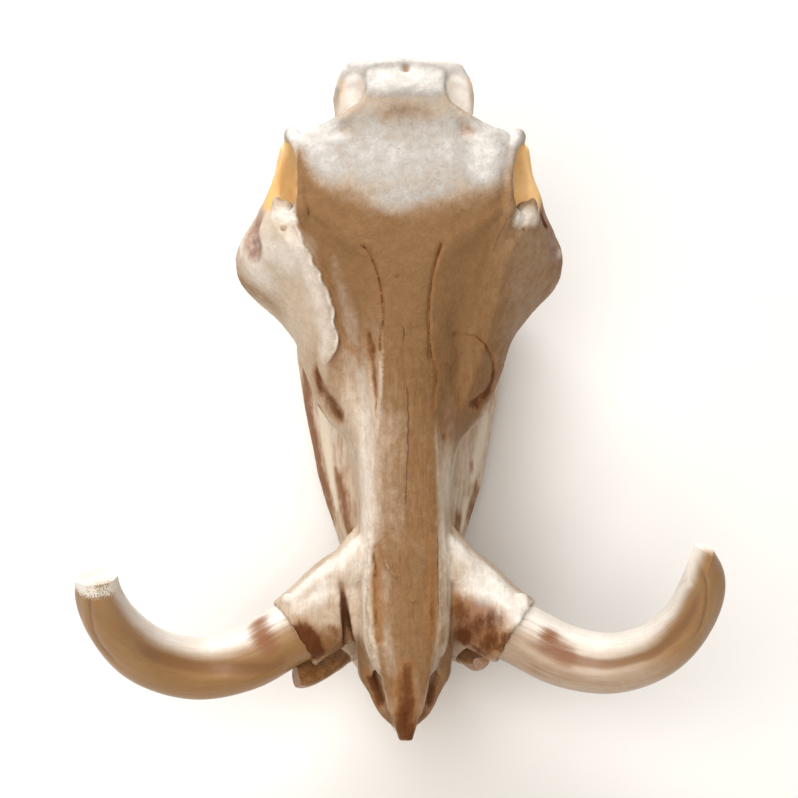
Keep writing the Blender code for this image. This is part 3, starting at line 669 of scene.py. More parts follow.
LEFT_GROOVE = [
    (-25, 278.5, 197.8, 1.2), (-22, 275.5, 196, 0.9), (-19.4, 270.6, 194, 0.9), (-15.8, 261.1, 189.5, 0.9),
    (-14, 250.9, 184, 0.8), (-13.4, 240.1, 179, 0.8), (-15, 230, 174, 1), (-15.3, 224, 172, 1.3),
]
RIGHT_GROOVE = [
    (21, 279.4, 198.5, 1.5), (18.7, 273, 195.5, 1.1), (16.4, 264.3, 190.5, 0.9), (14.7, 253.6, 185.5, 0.9),
    (14.2, 240.3, 178.8, 0.8), (14.8, 226.8, 172.5, 1), (15.4, 220.5, 170, 1.6),
]
LEFT_CREASE = [
    (-21.5, 236, 168.5, 0.6), (-20.5, 227, 167, 1.1), (-18.5, 212, 162.5, 0.8), (-17.8, 200, 160, 0.5),
    (-17.6, 186, 157, 0.2),
]
LEFT_NASAL_EDGE = [
    (-14.8, 216, 169, 0.6), (-15, 200, 165, 1.1), (-16.6, 184, 159.5, 1), (-18, 150, 151, 0.4),
]
RIGHT_CREASE = [(15.4, 220.5, 170), (19.5, 213, 165), (19.2, 207.9, 163), (17.5, 192, 160)]
LEFT_CHEEK_EDGE = [
    (-68, 297, 199, 0.7), (-63.4, 289, 196, 1), (-61.6, 283, 193.2, 1), (-57.2, 278, 190.4, 1),
    (-56.1, 273, 187.6, 1.1), (-51.8, 269, 184, 1), (-50.9, 264.5, 180.4, 1), (-47.4, 260, 176.8, 1),
    (-45.6, 254.5, 172.3, 1.1), (-43.3, 250, 169, 1), (-43.9, 244, 164.8, 1), (-41.2, 238, 161.3, 1),
    (-41.8, 231, 157, 0.9), (-47.9, 222.8, 150, 0.6),
]
RIGHT_CHEEK_EDGE = [(61.9, 297.5, 200.8), (55.5, 286.6, 194.5), (51, 271.7, 185.3), (47.7, 254.9, 174.2)]
LEFT_HOLLOW = [
    (-54.6, 231, 145, 0.3), (-54, 222, 138, 0.5), (-51.5, 212, 134, 0.9), (-46, 203, 134, 1.2),
    (-41, 196, 134, 0.9),
]
RIGHT_BOWL = [
    (30, 237.5, 162.5, 0.5), (43.3, 236.4, 160, 0.8), (52.4, 229.9, 151, 0.9), (55.3, 226.3, 143, 1.3),
    (55, 219, 134, 2), (52, 211.6, 130, 2.6), (46, 203, 131, 2.4),
]
SNOUT_EDGE = [
    (-22, 118, 140, 0.5), (-20.4, 111, 139.5, 0.9), (-21.4, 104, 138.5, 0.9), (-20.2, 98, 137.5, 1.1),
    (-21.6, 90, 135.5, 0.9), (-20.3, 84, 135, 1.2), (-21.5, 76, 133, 0.9), (-20, 69, 132.5, 1.1),
    (-20.8, 61, 130, 0.9), (-18.8, 54, 129, 1), (-18.4, 47, 126.5, 0.5),
]
SNOUT_FURROW = [
    (-17, 112, 141.5, 0.3), (-16.6, 100, 140, 0.9), (-16.2, 85, 137.5, 1), (-15.4, 67.6, 134, 1),
]
MIDDLE_SEAM = [(-1.4, 216.7, 172.5), (1.6, 194.2, 164.5), (1.5, 165.5, 156.5), (0.3, 136.6, 149.5)]
BROW_HOLE = [(-5.1, 261.7, 193)]
HOLLOW_HOLE = [(23, 194, 155)]
CHEEK_PITS = [[(-93, 308, 166), (-92, 292, 170)], [(88, 314, 164), (92, 298, 162)]]
TEMPLE_LINE = [(68, 350, 209), (51, 346, 215), (36, 352.5, 219), (24.5, 363, 226), (20, 374, 233)]


def beside(route, x, s=0, z=0):
    """The route moved over by so many millimetres."""
    return [(a + x, b + s, c + z, *size) for a, b, c, *size in route]


CRANIUM_FORMS = both_sides([
    ([(60, 238, 112)], (14, 30, 14), -4), (TEMPLE_LINE, 5, 1.3),
    ([(43, 343, 217), (34, 350, 219), (27, 358, 223)], 4, -0.8), ([(35, 347, 218.5)], 8, -1.5),
    ([(24, 150, 147), (24.5, 110, 139), (23.5, 80, 134)], 3.0, -0.7), ([(73, 294, 192)], 2.6, -3),
    ([(10, -9, 112), (10, 0, 114), (12, 10, 116)], 8, -3.4), ([(66.5, 299, 198.5)], 3, -3),
    ([(69.6, 79.7, 121)], 1.8, -1.6), ([(59, 322, 211), (56, 300, 203)], 4, -0.6),
    ([(61, 302, 200), (50, 293, 199), (34, 286, 197), (24, 282, 195)], 11, 2.3),
]) + [
    ([(0, 384, 205)], (30, 16, 28), -4), ([(0, 356, 224)], (16, 9, 8), -1.2),
    ([(0, 312, 218)], (55, 30, 16), 1), ([(0, 90, 82)], (14, 40, 10), -3),
    ([(0, 210, 86)], (16, 60, 10), -6), ([(0, 377, 239)], (5, 4, 6), -3.5),
    ([(-9, 371, 236.5), (0, 366.5, 233), (9, 371, 236.5)], 2.5, 0.7), (LEFT_GROOVE, (2.0, 2.0, 5), -1.8),
    (RIGHT_GROOVE, (2.0, 2.0, 5), -1.8), (LEFT_CREASE, (5.5, 6, 9), -1.8),
    (LEFT_NASAL_EDGE, (3.0, 3.0, 7), 1.1), (RIGHT_CREASE, (2.6, 2.6, 5), -0.9),
    (LEFT_CHEEK_EDGE, (1.9, 2.3, 6), 1.2), (beside(LEFT_CHEEK_EDGE, 3, -1), (3.4, 4, 7), -1.9),
    (beside(LEFT_CHEEK_EDGE, -5, 1), 7, 0.6), (RIGHT_CHEEK_EDGE, 2.5, 0.3),
    (beside(RIGHT_CHEEK_EDGE, -3, -1), 4, -0.6), (LEFT_HOLLOW, (8, 9, 11), -2.8),
    (beside(LEFT_HOLLOW, -7), (4, 5, 7), 0.7), (RIGHT_BOWL, (2.2, 2.2, 5), -1.3),
    ([(47, 206, 131), (42, 204, 134)], (8, 8, 9), -2.4),
    ([(27, 224, 157), (26, 209, 150), (25, 196, 144)], (11, 16, 11), 1.7),
    *((pit, (12, 15, 14), -4.2) for pit in CHEEK_PITS), (BROW_HOLE, (1.4, 1.4, 5), -2.0),
    (HOLLOW_HOLE, 1.5, -1.5), ([(0, -6, 115), (0, 6, 119), (0, 14, 122)], 1.4, -2.0),
    ([(-0.9, 230.6, 178), *MIDDLE_SEAM], (1.6, 1.6, 5), -0.5),
    ([(-12.4, 102.5, 142, 0.7), (-10, 98, 142, 1.2), (-9.4, 95, 142, 0.8), (-6, 92, 141.5, 1.1)],
     (1.6, 1.6, 4), 1.0),
    ([(2.4, 79.5, 139, 0.7), (4.2, 77.5, 139, 1)], (1.4, 1, 4), 1.0),
    ([*SNOUT_FURROW, (-14.4, 56, 131.5, 0.7)], (6, 5, 9), -1.7), (SNOUT_EDGE, (2.4, 2.6, 6), 1.5),
    ([(18, 105, 142.5), (17.5, 80, 138), (16.5, 58, 133)], (3, 3, 7), -0.6),
    ([(23.6, 112, 137), (26, 93, 130), (25, 69, 126), (22.5, 50, 123)], (4, 4, 8), 0.8),
    ([(35, 82, 121), (35, 64, 112)], 7, -2.5), ([(47, 63, 121)], 9, -1.2),
    ([(-46, 86, 124), (-50, 72, 122)], 7, -1.2), ([(-36, 85, 126), (-51, 82, 124), (-62, 77, 123)], 7, 0.9),
    ([(36, 85, 126), (51, 82, 124), (64, 77, 123)], 7, 0.9),
    ([(0, 30, 127), (0, 70, 137), (0, 105, 144)], 6, 0.5),
]

# The upper skull is put together
bones = cranium_pieces()
cranium = combine(bones[0], bones[1:], "UNION")
combine(cranium, cranium_openings(), "DIFFERENCE")
combine(cranium, cranium_rims(1) + cranium_rims(-1), "UNION")
cranium.name = cranium.data.name = "cranium_bone"
even_skin(cranium)
sculpt(cranium, CRANIUM_FORMS)
roughen(cranium, both_sides([
    ([(74, 308, 188), (72, 300, 190)], 9, 1.2), ([(92, 308, 165), (93, 295, 165)], 10, 1.6),
    ([(35, 352, 219), (50, 346, 214)], 6, 0.4),
]) + [(LEFT_CHEEK_EDGE, 4, 0.3)], 4.0)
roughen(cranium, both_sides([
    ([(79, 85, 103), (75, 80, 118), (67, 67, 125), (59, 57, 119), (54, 49, 103), (59, 56, 86)], 7, 2.0),
]), 9.0)
roughen(cranium, both_sides([([(50, 85, 112), (60, 78, 106)], 18, 0.5)]) + [
    (SNOUT_EDGE, (3, 3, 8), 0.7), ([(21, 104, 141), (21.5, 78, 136), (18, 56, 131)], 4, 0.5),
], 3.5)
uneven(cranium, 14, 0.9)
uneven(cranium, 3.5, 0.35)
thin_out(cranium, CRANIUM_FACES)
cutters = [block("bite", (-60, 160, BITE_HEIGHT - 30), (60, 290, BITE_HEIGHT + GAP / 2))]
for side in SIDES:
    near, far = sorted((42 * side, 84 * side))
    cutters.append(block("hinge", (near, 318, HINGE_HEIGHT - 20), (far, 349, HINGE_HEIGHT + GAP / 2)))
    cutters.append(socket(tusk_route(side), side, 60))
combine(cranium, cutters, "DIFFERENCE")
largest_body(cranium)

# Where the upper skull is tan, bleached, stained and lit through, and the seams between its bones. The tan is
# partly painted shade, the brown marks partly painted shade, the pale partly painted light, and the amber and
# its glow are painted light through thin bone.
x, s, z = skull_points(cranium)[0].T
# The brow and cheek edges follow where the face turns from lit to shaded: the face's tan ground below them is
# partly the bone's own tan and partly painted shade. pale_half lightens the left half of the nasal bridge,
# partly its own paler colour and partly painted light from the left.
brow_edge = np.interp(x, (-64, -57, -45, -26, 0, 25, 38, 52, 60, 66),
                      (342, 323, 313, 305, 299, 304, 307, 316, 324, 330))
cheek_edge = np.interp(s, (222, 232, 245, 255, 265, 273, 282, 293),
                       (-48, -41.5, -43.5, -46, -50.5, -56, -61.5, -66))
nasal_edge = np.interp(s, (22, 38, 57, 78, 134, 200), (11, 15, 18, 20, 19.5, 17.5))
suture = np.interp(s, (0, 110, 165, 194, 217, 231), (0, 0.2, 1.5, 1.6, -1.4, -0.9))
pale_half = ramp(x - suture, 0.4, -0.4) * ramp(x, -40, -26) * ramp(s, 232, 192) * ramp(s, 100, 125)
pale_half *= np.interp(x - suture, (-14, -8, -2, 0), (0.9, 0.65, 0.45, 0.35))
face = ramp(s - brow_edge, 13, -13) * ramp(x - cheek_edge, -0.9, 2.1) * np.interp(x, (40, 70), (1, 0.62))
face *= np.where(x < -13, np.interp(s, (195, 235, 262), (0.1, 0.7, 1)), np.interp(s, (165, 190), (0.1, 1)))
nasals = ramp(abs(x) - nasal_edge, 1.5, -1.5) * ramp(s, 215, 200)
face = np.maximum(face, nasals * 0.85) * ramp(z, 112, 126)
write_mark(cranium, "fibrous", ramp(s, 255, 215))
write_mark(cranium, "creamy", ramp(s - brow_edge, 4, -14))
# Tan marks: partly the bone's own colour, and partly painted shade on the right cheek, the lower left cheek,
# the parietal dip and the under-facing fronts of the tusk sockets.
paint(cranium, "tan", [
    ([(-10, 112, 145, 0.7), (-9, 96, 142, 1), (-8, 72, 137, 0.8)], (12, 12, 10), 0.85),
    ([(-88, 262, 140), (-100, 280, 140)], 24, 0.6), ([(98, 296, 150), (100, 270, 138)], 24, 0.5),
    ([(0, 0, 117), (0, 30, 127)], 16, 1.0), ([(-50, 58, 112), (-42, 60, 104), (-62, 60, 100)], 20, 1.0),
    ([(56, 60, 112), (40, 68, 112), (66, 62, 104), (34, 80, 118)], (24, 18, 22), 1.0),
    ([(0, 354, 224)], (28, 14, 10), 0.6), ([(12, 106, 144), (13, 70, 137)], (7, 14, 8), 1.0),
    ([(22, 60, 122), (26, 40, 106), (14, 16, 90)], 15, 1.0),
    ([(-24, 56, 116), (-26, 40, 104), (-14, 16, 90)], 14, 0.9),
], face * (1 - 0.45 * pale_half))
# Pale marks: partly sun-bleaching, and partly painted light on the faces that the light falls on: the crest
# and its cups, the temple bands, the tops of the tusk sockets, the left cheek and the left ridge of the
# snout.
paint(cranium, "bleached_and_lit", both_sides([
    ([(40, 345, 214), (64, 347, 211)], 17, 1.0), ([(28, 380, 233), (40, 378, 222)], 13, 1.0),
    ([(32, 372, 216), (32, 360, 200)], 14, 1.0),
    ([(30, 116, 130), (34, 108, 127), (52, 98, 122), (68, 86, 121)], 14, 1.0),
    ([(76, 304, 188), (68, 300, 196)], 12, 1.0),
]) + [
    ([(-20, 334, 216), (20, 334, 216)], (56, 48, 30), 0.62), ([(-44, 324, 212), (-50, 340, 212)], 26, 0.7),
    ([(46, 324, 212), (50, 340, 212)], 25, 0.9), ([(-8, 303, 210), (20, 310, 212)], (26, 16, 20), 0.6),
    ([(-16, 372, 235), (16, 372, 235)], (24, 17, 20), 1.08),
    ([(-34, 378, 232), (-20, 382, 238), (0, 384, 241), (20, 382, 238), (34, 378, 232)], 9, 1.1),
    ([(-24, 214, 150, 0.7), (-24, 190, 147, 0.9), (-24, 165, 144, 1), (-24, 140, 141, 1),
     (-25, 110, 136, 1), (-27, 86, 129, 0.8)], 22, 0.72),
    ([(-22, 150, 146), (-24, 118, 139)], 8, 0.35),
    ([(-21, 126, 142), (-23, 108, 138), (-25, 92, 131)], 9, 0.55),
    ([(-43, 278, 189, 0.5), (-39, 264, 179, 1), (-35, 248, 170, 1.2), (-32, 232, 161, 1)], (13, 12, 13),
     0.47),
    ([(-12, 90, 140), (-12, 60, 135), (-9, 38, 129)], (11, 14, 9), 0.5),
    ([(4, 100, 144), (5, 84, 141)], (4, 12, 6), 0.3), ([(9, 52, 132), (6, 30, 127)], (9, 14, 9), 0.36),
    ([(-23, 84, 130, 1), (-22.6, 66, 126, 0.8), (-21, 48, 121, 0.5)], 6.5, 1.0),
    (LEFT_NASAL_EDGE, (3.4, 3.4, 7), 0.6), ([(-31, 225, 153), (-30, 200, 148)], 16, 0.5),
    ([(-66, 282, 182), (-86, 292, 167), (-86, 282, 158)], 30, 0.84), (beside(LEFT_CHEEK_EDGE, -6), 12, 0.7),
    (LEFT_CHEEK_EDGE, (1.7, 2, 6), 1.1), ([(-102, 306, 160), (-102, 292, 158)], 5, 0.9),
    ([(-84, 304, 176), (-82, 288, 176)], 6, 0.9),
    ([(-12, 101, 142), (-9.5, 96, 142), (-6, 92, 141)], (1.4, 1.4, 4), 0.55),
    ([(2.4, 79.5, 139), (4.4, 77.5, 139)], (1.6, 1.4, 4), 0.5), (SNOUT_EDGE, (2.6, 3, 7), 0.6),
    ([(23, 150, 146), (23.6, 112, 137), (26.7, 93, 130), (25.3, 69, 125), (22.7, 50, 123)], (4, 4, 8),
     0.75),
    (beside(LEFT_HOLLOW, -7), (4.5, 5, 7), 0.75), ([(27, 162, 138), (27, 140, 134)], 10, 0.55),
    ([(98, 296, 154), (94, 286, 166)], 6, 0.8), ([(-44, 96, 122), (-41, 82, 123)], 5, 1.0),
    ([(44, 92, 123), (58, 80, 121), (70, 74, 118)], 24, 1.25), ([(-46, 90, 122), (-62, 78, 119)], 16, 0.95),
])
# Brown marks: earth stains in part, and in part painted shade in the grooves, creases, hollows and notches
# and on the under-facing fronts of the tusk sockets.
paint(cranium, "brown_marks", [
    (LEFT_GROOVE, (1.8, 1.8, 5), 1.0), (RIGHT_GROOVE, (1.8, 1.8, 5), 1.0), (LEFT_CREASE, (5.5, 6, 9), 0.8),
    (RIGHT_CREASE, (2.4, 2.4, 5), 0.7), (beside(LEFT_HOLLOW, 1, 0, -3), (11, 12, 13), 0.85),
    ([(-45, 212, 140), (-38, 200, 140)], 16, 0.3), (RIGHT_BOWL, (2.2, 2.4, 5), 1.0),
    ([(49, 208, 130), (44, 204, 133), (40, 203, 136)], (9, 9, 10), 0.9),
    (beside(LEFT_CHEEK_EDGE, 4, -1), (4, 5, 8), 0.35), (BROW_HOLE, (1.5, 1.5, 5), 1.0),
    (HOLLOW_HOLE, 1.5, 0.9), ([(0, -4, 115), (0, 10, 120), (0, 18, 123)], (1.7, 8, 8), 0.9),
    ([(0, -6, 115, 1.2), (0, 10, 121, 1), (0, 26, 126, 0.75), (0, 42, 130, 0.5)], (16, 15, 14), 0.85),
    ([(-62, 62, 121), (-57, 58, 118), (-54, 54, 112)], (13, 15, 17), 1.2),
    ([(-41, 62, 117), (-44, 66, 119)], 7, 0.7), ([(59.7, 60, 121), (56, 56, 115)], 10, 0.8),
    ([(52, 60, 117), (46, 58, 106)], 15, 0.9),
    ([(50, 69, 121), (44, 68, 118), (36, 64, 110), (34, 78, 118)], (18, 18, 17), 0.9),
    ([*SNOUT_FURROW, (-14.4, 56, 131.5, 0.6)], (9, 6, 10), 0.45),
    (beside(SNOUT_EDGE, 2.6), (1.9, 2, 6), 0.8),
    ([(15.5, 112, 143), (15.5, 80, 138), (14.5, 58, 132)], (5, 6, 8), 0.5),
    ([(-36, 232, 157), (-32, 229, 156.5), (-28, 222, 157)], (4, 7, 7), 0.55),
    ([(24, 176, 146), (21, 184, 153)], 6, 0.6), ([(62, 262, 170)], 8, 0.5),
    ([(0, 377, 237)], (4, 4, 5), 1.0), ([(-14, 353, 223)], 8, 0.4), ([(14, 353, 223)], 8, 0.4),
    ([(37, 346, 217)], 9, 0.6), ([(-36, 346, 217)], 8, 0.4), ([(69.5, 79.7, 120.5)], 1.8, 0.9),
    ([(-70, 80, 120.5)], 1.8, 0.9), ([(19.5, 40, 104), (15, 27, 97)], (7, 12, 9), 0.8),
    ([(-20, 40, 104), (-15, 27, 97)], (7, 12, 9), 0.95), ([(86, 317, 165), (89, 312, 162)], (6, 6, 8), 1.1),
    ([(-73, 294, 191)], 2.2, 0.8), ([(73, 294, 191)], 2.2, 0.8),
    ([(-36, 88, 118), (-34, 66, 106), (-33, 48, 96)], 9, 0.9), ([(30, 381, 230), (37, 378, 226)], 3, 0.7),
    ([(-27, 381, 230)], 3, 0.6),
])
# Amber in the orbits and at the edges of the crest cups is painted light: bone lit through from behind, where
# the shapes lie in shade.
paint(cranium, "amber", both_sides([
    ([(72, 346, 188), (74, 334, 174), (77, 322, 172), (68, 326, 168)], 17, 1.0),
    ([(38.5, 378, 223), (39, 373, 209), (37.5, 367, 196)], (6, 8, 9), 0.7),
]))
# Mauve marks darken the cheek pits, a hollow on the right of the face, the right nasal notch, the notch
# between the left tusk socket and the snout, and the front of the right socket; in the last two places they
# are painted shade.
paint(cranium, "mauve", [
    *((pit, (14, 17, 16), 1.0) for pit in CHEEK_PITS), ([(26, 196, 150), (28, 184, 142)], 13, 0.4),
    ([(-36, 84, 118), (-34, 60, 104)], 7, 0.6), ([(44, 76, 121), (40, 66, 112)], (17, 18, 17), 0.7),
    ([(20, 38, 104), (16, 24, 96)], (8, 12, 12), 0.5),
])
# The crest cups glow: a painted light through thin bone.
paint(cranium, "lit_through", both_sides([([(30, 376, 222), (33, 366, 206), (34, 356, 194)], 14, 1.0)]))
paint_relief(cranium, "relief", 2.2)
paint_relief(cranium, "hollow", 9)
paint_seams(cranium, "seam", [
    [(-0.9, 232, 178), *MIDDLE_SEAM],
    [(19.5, 112, 142), (19.5, 78.8, 137), (18.8, 56.4, 131), (16, 44, 128)], RIGHT_CHEEK_EDGE,
])
paint_seams(cranium, "cross_seam", [
    [(-14, 236.3, 177), (-8, 235.7, 179.5), (-0.9, 234.9, 180), (5.7, 234.5, 179.5), (11.1, 236.8, 178.5)],
    RIGHT_BOWL[:4],
])


class Wire:
    """A socket of a finish, on which sums are written as plain arithmetic."""

    def __init__(self, finish, socket):
        self.finish = finish
        self.socket = socket

    def sum(self, operation, first, second=0.0):
        return self.finish.node("ShaderNodeMath", {"operation": operation}, {0: first, 1: second})

    def __add__(self, other):
        return self.sum("ADD", self, other)

    def __radd__(self, other):
        return self.sum("ADD", other, self)

    def __sub__(self, other):
        return self.sum("SUBTRACT", self, other)

    def __rsub__(self, other):
        return self.sum("SUBTRACT", other, self)

    def __mul__(self, other):
        return self.sum("MULTIPLY", self, other)

    def __rmul__(self, other):
        return self.sum("MULTIPLY", other, self)

    def __abs__(self):
        return self.sum("ABSOLUTE", self)


class Finish:
    """One material: a Principled shader and the nodes that feed it."""

    def __init__(self, name, **fixed):
        self.material = bpy.data.materials.new(name)
        self.material.use_nodes = True
        self.tree = self.material.node_tree
        self.shader = self.tree.nodes["Principled BSDF"]
        for socket, value in fixed.items():
            self.shader.inputs[socket.replace("_", " ")].default_value = value
        self.place = self.node("ShaderNodeTexCoord", output="Object")

    def node(self, kind, settings=None, sockets=None, output=0):
        """Adds a node: its settings come first, then the values or links of its sockets."""
        node = self.tree.nodes.new(kind)
        for setting, value in (settings or {}).items():
            setattr(node, setting, value)
        for socket, value in (sockets or {}).items():
            self.feed(node.inputs[socket], value)
        return Wire(self, node.outputs[output])

    def feed(self, socket, value):
        """Links a wire to the socket, or sets the socket to a plain value."""
        if isinstance(value, Wire):
            self.tree.links.new(value.socket, socket)
        else:
            socket.default_value = value

    def mark(self, name):
        """The number that each vertex keeps under this name."""
        return self.node("ShaderNodeAttribute", {"attribute_name": name}, output="Fac")

    def blend(self, share, first, second, way="MIX"):
        """Goes from the first colour to the second as the share goes from 0 to 1."""
        colours = {
            6: first if isinstance(first, Wire) else (*first, 1),
            7: second if isinstance(second, Wire) else (*second, 1),
        }
        return self.node("ShaderNodeMix", {"data_type": "RGBA", "blend_type": way}, {0: share, **colours}, 2)

    def step(self, value, low, high, bottom=0.0, top=1.0):
        """Rises smoothly from bottom to top as the value goes from low to high."""
        return self.node("ShaderNodeMapRange", {"interpolation_type": "SMOOTHSTEP"},
                         {0: value, 1: low, 2: high, 3: bottom, 4: top})

    def clouds(self, size, detail=4.0, roughness=0.55, drawn_out=(1, 1, 1), warp=0.0):
        """Uneven cloudiness with spots of so many millimetres, drawn out along X, Y or Z."""
        scale = tuple(1 / (size * MM * factor) for factor in drawn_out)
        place = self.node("ShaderNodeVectorMath", {"operation": "MULTIPLY"}, {0: self.place, 1: scale})
        return self.node("ShaderNodeTexNoise", {}, {
            "Vector": place, "Scale": 1.0, "Detail": detail, "Roughness": roughness, "Distortion": warp})

    def pores(self, size):
        """The distance to the nearest of many scattered points, 0 at each."""
        scale = (1 / (size * MM),) * 3
        place = self.node("ShaderNodeVectorMath", {"operation": "MULTIPLY"}, {0: self.place, 1: scale})
        return self.node("ShaderNodeTexVoronoi", {}, {"Vector": place, "Scale": 1.0})

    def close(self, colour, roughness, height, depth):
        """Feeds the shader, with the height in units of the depth in millimetres."""
        self.feed(self.shader.inputs["Base Color"], colour)
        self.feed(self.shader.inputs["Roughness"], roughness)
        bump = self.node("ShaderNodeBump", {}, {"Height": height, "Distance": depth * MM, "Strength": 1.0})
        self.feed(self.shader.inputs["Normal"], bump)
        return self.material


# The colours of the upper skull: a pair is mixed by an uneven or painted share
BONE = (0.54, 0.42, 0.305), (0.62, 0.51, 0.395)
# FACE_TAN is partly the face's own tan and partly painted shade
FACE_TAN = (0.278, 0.153, 0.068)
# The pale pairs: partly bleaching and partly painted light; WHITE, the palest, is partly a painted highlight
BLEACHED_AND_LIT = (0.47, 0.445, 0.415), (0.62, 0.525, 0.43)     # cool on the crown, cream on the face
WHITE = (0.86, 0.845, 0.82), (0.88, 0.845, 0.79)
STREAK, FIBRE, MOTTLE = (0.70, 0.56, 0.43), (0.62, 0.5, 0.38), (0.62, 0.50, 0.40)
# HOLLOW_SHADE darkens hollows, painted shade with some dirt; WORN_AND_LIT pales standing edges, partly wear
# and partly a painted highlight
HOLLOW_SHADE, WORN_AND_LIT = (0.30, 0.17, 0.085), (0.80, 0.75, 0.68)
# AMBER_LIGHT is painted light through thin bone; GLOW and LIT_THROUGH colour a painted glow
AMBER_LIGHT = (0.66, 0.33, 0.09), (0.78, 0.53, 0.27)
GLOW, LIT_THROUGH = (0.56, 0.34, 0.14), (1.0, 0.92, 0.82)
MAUVE = (0.27, 0.15, 0.115), (0.42, 0.275, 0.215)
# STAIN_AND_SHADE: the brown of earth stains, and of painted shade in grooves, hollows and notches
STAIN_AND_SHADE = (0.37, 0.168, 0.052), (0.125, 0.04, 0.011)
CRACK, PORE = (0.17, 0.09, 0.05), (0.24, 0.14, 0.08)


def skull_bone():
    """Dry bone: pale on top, partly sun-bleaching and partly painted light, and tan along the face, partly
    painted shade, with painted shade and some dirt in its hollows, brown stains, seams, fibres and pores.
    """
    finish = Finish("skull_bone", Subsurface_Weight=0.06, Subsurface_Scale=0.002,
                    Subsurface_Radius=(1.0, 0.7, 0.45), Specular_IOR_Level=0.12, Emission_Strength=0.4)
    blend, step, clouds, mark = finish.blend, finish.step, finish.clouds, finish.mark
    broad = clouds(34, 3)
    patches = clouds(11, 5, 0.6)
    grain = clouds(1.4, 4, 0.65)
    fibres = clouds(1.1, 4, 0.6, (1, 14, 3))
    streaks = clouds(3.2, 4, 0.6, (1, 9, 2))
    spots = patches - 0.5
    fibrous, creamy, marked = mark("fibrous"), mark("creamy"), mark("brown_marks")
    ragged = (clouds(4.5, 5, 0.7, (1, 1.6, 1), 0.4) - 0.5) * 0.7
    ragged = ragged + (clouds(7, 4, 0.6, (1, 5, 2)) - 0.5) * fibrous

    # The face's tan: partly its own colour, partly painted shade.
    tan = mark("tan") + spots * 0.35 + ragged * 0.6
    colour = blend(step(tan, 0.0, 0.9), blend(step(broad, 0.35, 0.65), *BONE), FACE_TAN)
    # The pale: partly sun-bleaching, partly painted light where the light falls.
    bleached_and_lit = (broad - 0.5) * 0.4 + spots * 0.5 - ragged * 0.6
    bleached_and_lit = mark("bleached_and_lit") - mark("tan") * 0.25 + bleached_and_lit * (1 - creamy * 0.45)
    white = step(bleached_and_lit, 0.4, 1.1)
    colour = blend(step(bleached_and_lit, 0.05, 0.65), colour, blend(creamy, *BLEACHED_AND_LIT))
    colour = blend(white, colour, blend(creamy, *WHITE))
    streaked = step(streaks, 0.35, 0.7, 0.0, 0.32) * fibrous * (1 - white * 0.65)
    colour = blend(streaked, colour, STREAK, "MULTIPLY")
    frayed = step(fibres, 0.48, 0.72, 0.0, 0.34) * fibrous * (1 - white * 0.6)
    colour = blend(frayed, colour, FIBRE, "MULTIPLY")
    mottled = step(clouds(4.5, 6, 0.7, (1, 1, 1), 0.6), 0.42, 0.62, 0.0, 0.24)
    colour = blend(mottled, colour, MOTTLE, "MULTIPLY")
    # Painted shade with some dirt in the hollows, and paler wear with a painted highlight on standing edges.
    hollow_shade = step(mark("hollow") + spots * 0.5, -0.2, -2.2)
    colour = blend(hollow_shade * 0.5, colour, HOLLOW_SHADE)
    # Brown: earth stains, and painted shade in grooves, hollows and notches.
    brown_marks = step(marked + (spots * 0.4 + ragged * 0.8) * step(marked, 0.0, 0.3), 0.02, 1.0)
    worn = step(mark("relief") + spots * 0.15, 0.14, 0.5)
    colour = blend(worn * (0.35 - brown_marks * 0.2) * (1 - step(tan, 0.2, 0.8) * 0.8), colour, WORN_AND_LIT)

    # Amber is painted light through thin bone, and the emission is a painted glow from it and from the crest
    # cups.
    amber = step(mark("amber") + spots * 0.2, 0.1, 0.7)
    colour = blend(amber, colour, blend(step(broad, 0.3, 0.7), *AMBER_LIGHT))
    glow = blend(step(mark("lit_through"), 0.1, 0.7), blend(amber, (0, 0, 0), GLOW), LIT_THROUGH)
    finish.feed(finish.shader.inputs["Emission Color"], glow)
    # Mauve: in part painted shade, in the notch beside the left tusk socket and on the right socket's front.
    mauve = step(mark("mauve") + spots * 0.4, 0.15, 0.7)
    colour = blend(mauve * 0.85, colour, blend(step(patches, 0.4, 0.6), *MAUVE))
    colour = blend(brown_marks, colour, blend(step(brown_marks, 0.3, 1.0), *STAIN_AND_SHADE))

    wobble = (clouds(6.0, 3) - 0.5) * 2.2 + (clouds(0.9, 2) - 0.5) * 0.7
    seam = step(abs(mark("seam") + wobble), 0.55, 0.05) * step(mark("seam_near"), 0.1, 0.6)
    jagged = (clouds(1.6, 2) - 0.5) * 7.0
    cross = step(abs(mark("cross_seam") + jagged), 0.6, 0.1) * step(mark("cross_seam_near"), 0.2, 0.6)
    crack = finish.node("ShaderNodeMath", {"operation": "MAXIMUM"},
                        {0: seam * step(broad, 0.35, 0.6), 1: cross * 0.25})
    colour = blend(crack * 0.75, colour, CRACK)
    pitted = step(finish.pores(2.2), 0.16, 0.06) * step(patches, 0.5, 0.65)
    colour = blend(pitted * 0.6, colour, PORE)
    roughness = step(patches, 0.3, 0.7, 0.5, 0.66) + brown_marks * 0.1 - worn * 0.1
    height = grain * 0.6 + (fibres * 0.5 + streaks * 0.5) * fibrous + patches * 0.7
    return finish.close(colour, roughness, height + mottled - pitted * 0.8 - crack, 0.5)


dress(cranium, skull_bone())
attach(cranium, "root")
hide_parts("cranium")

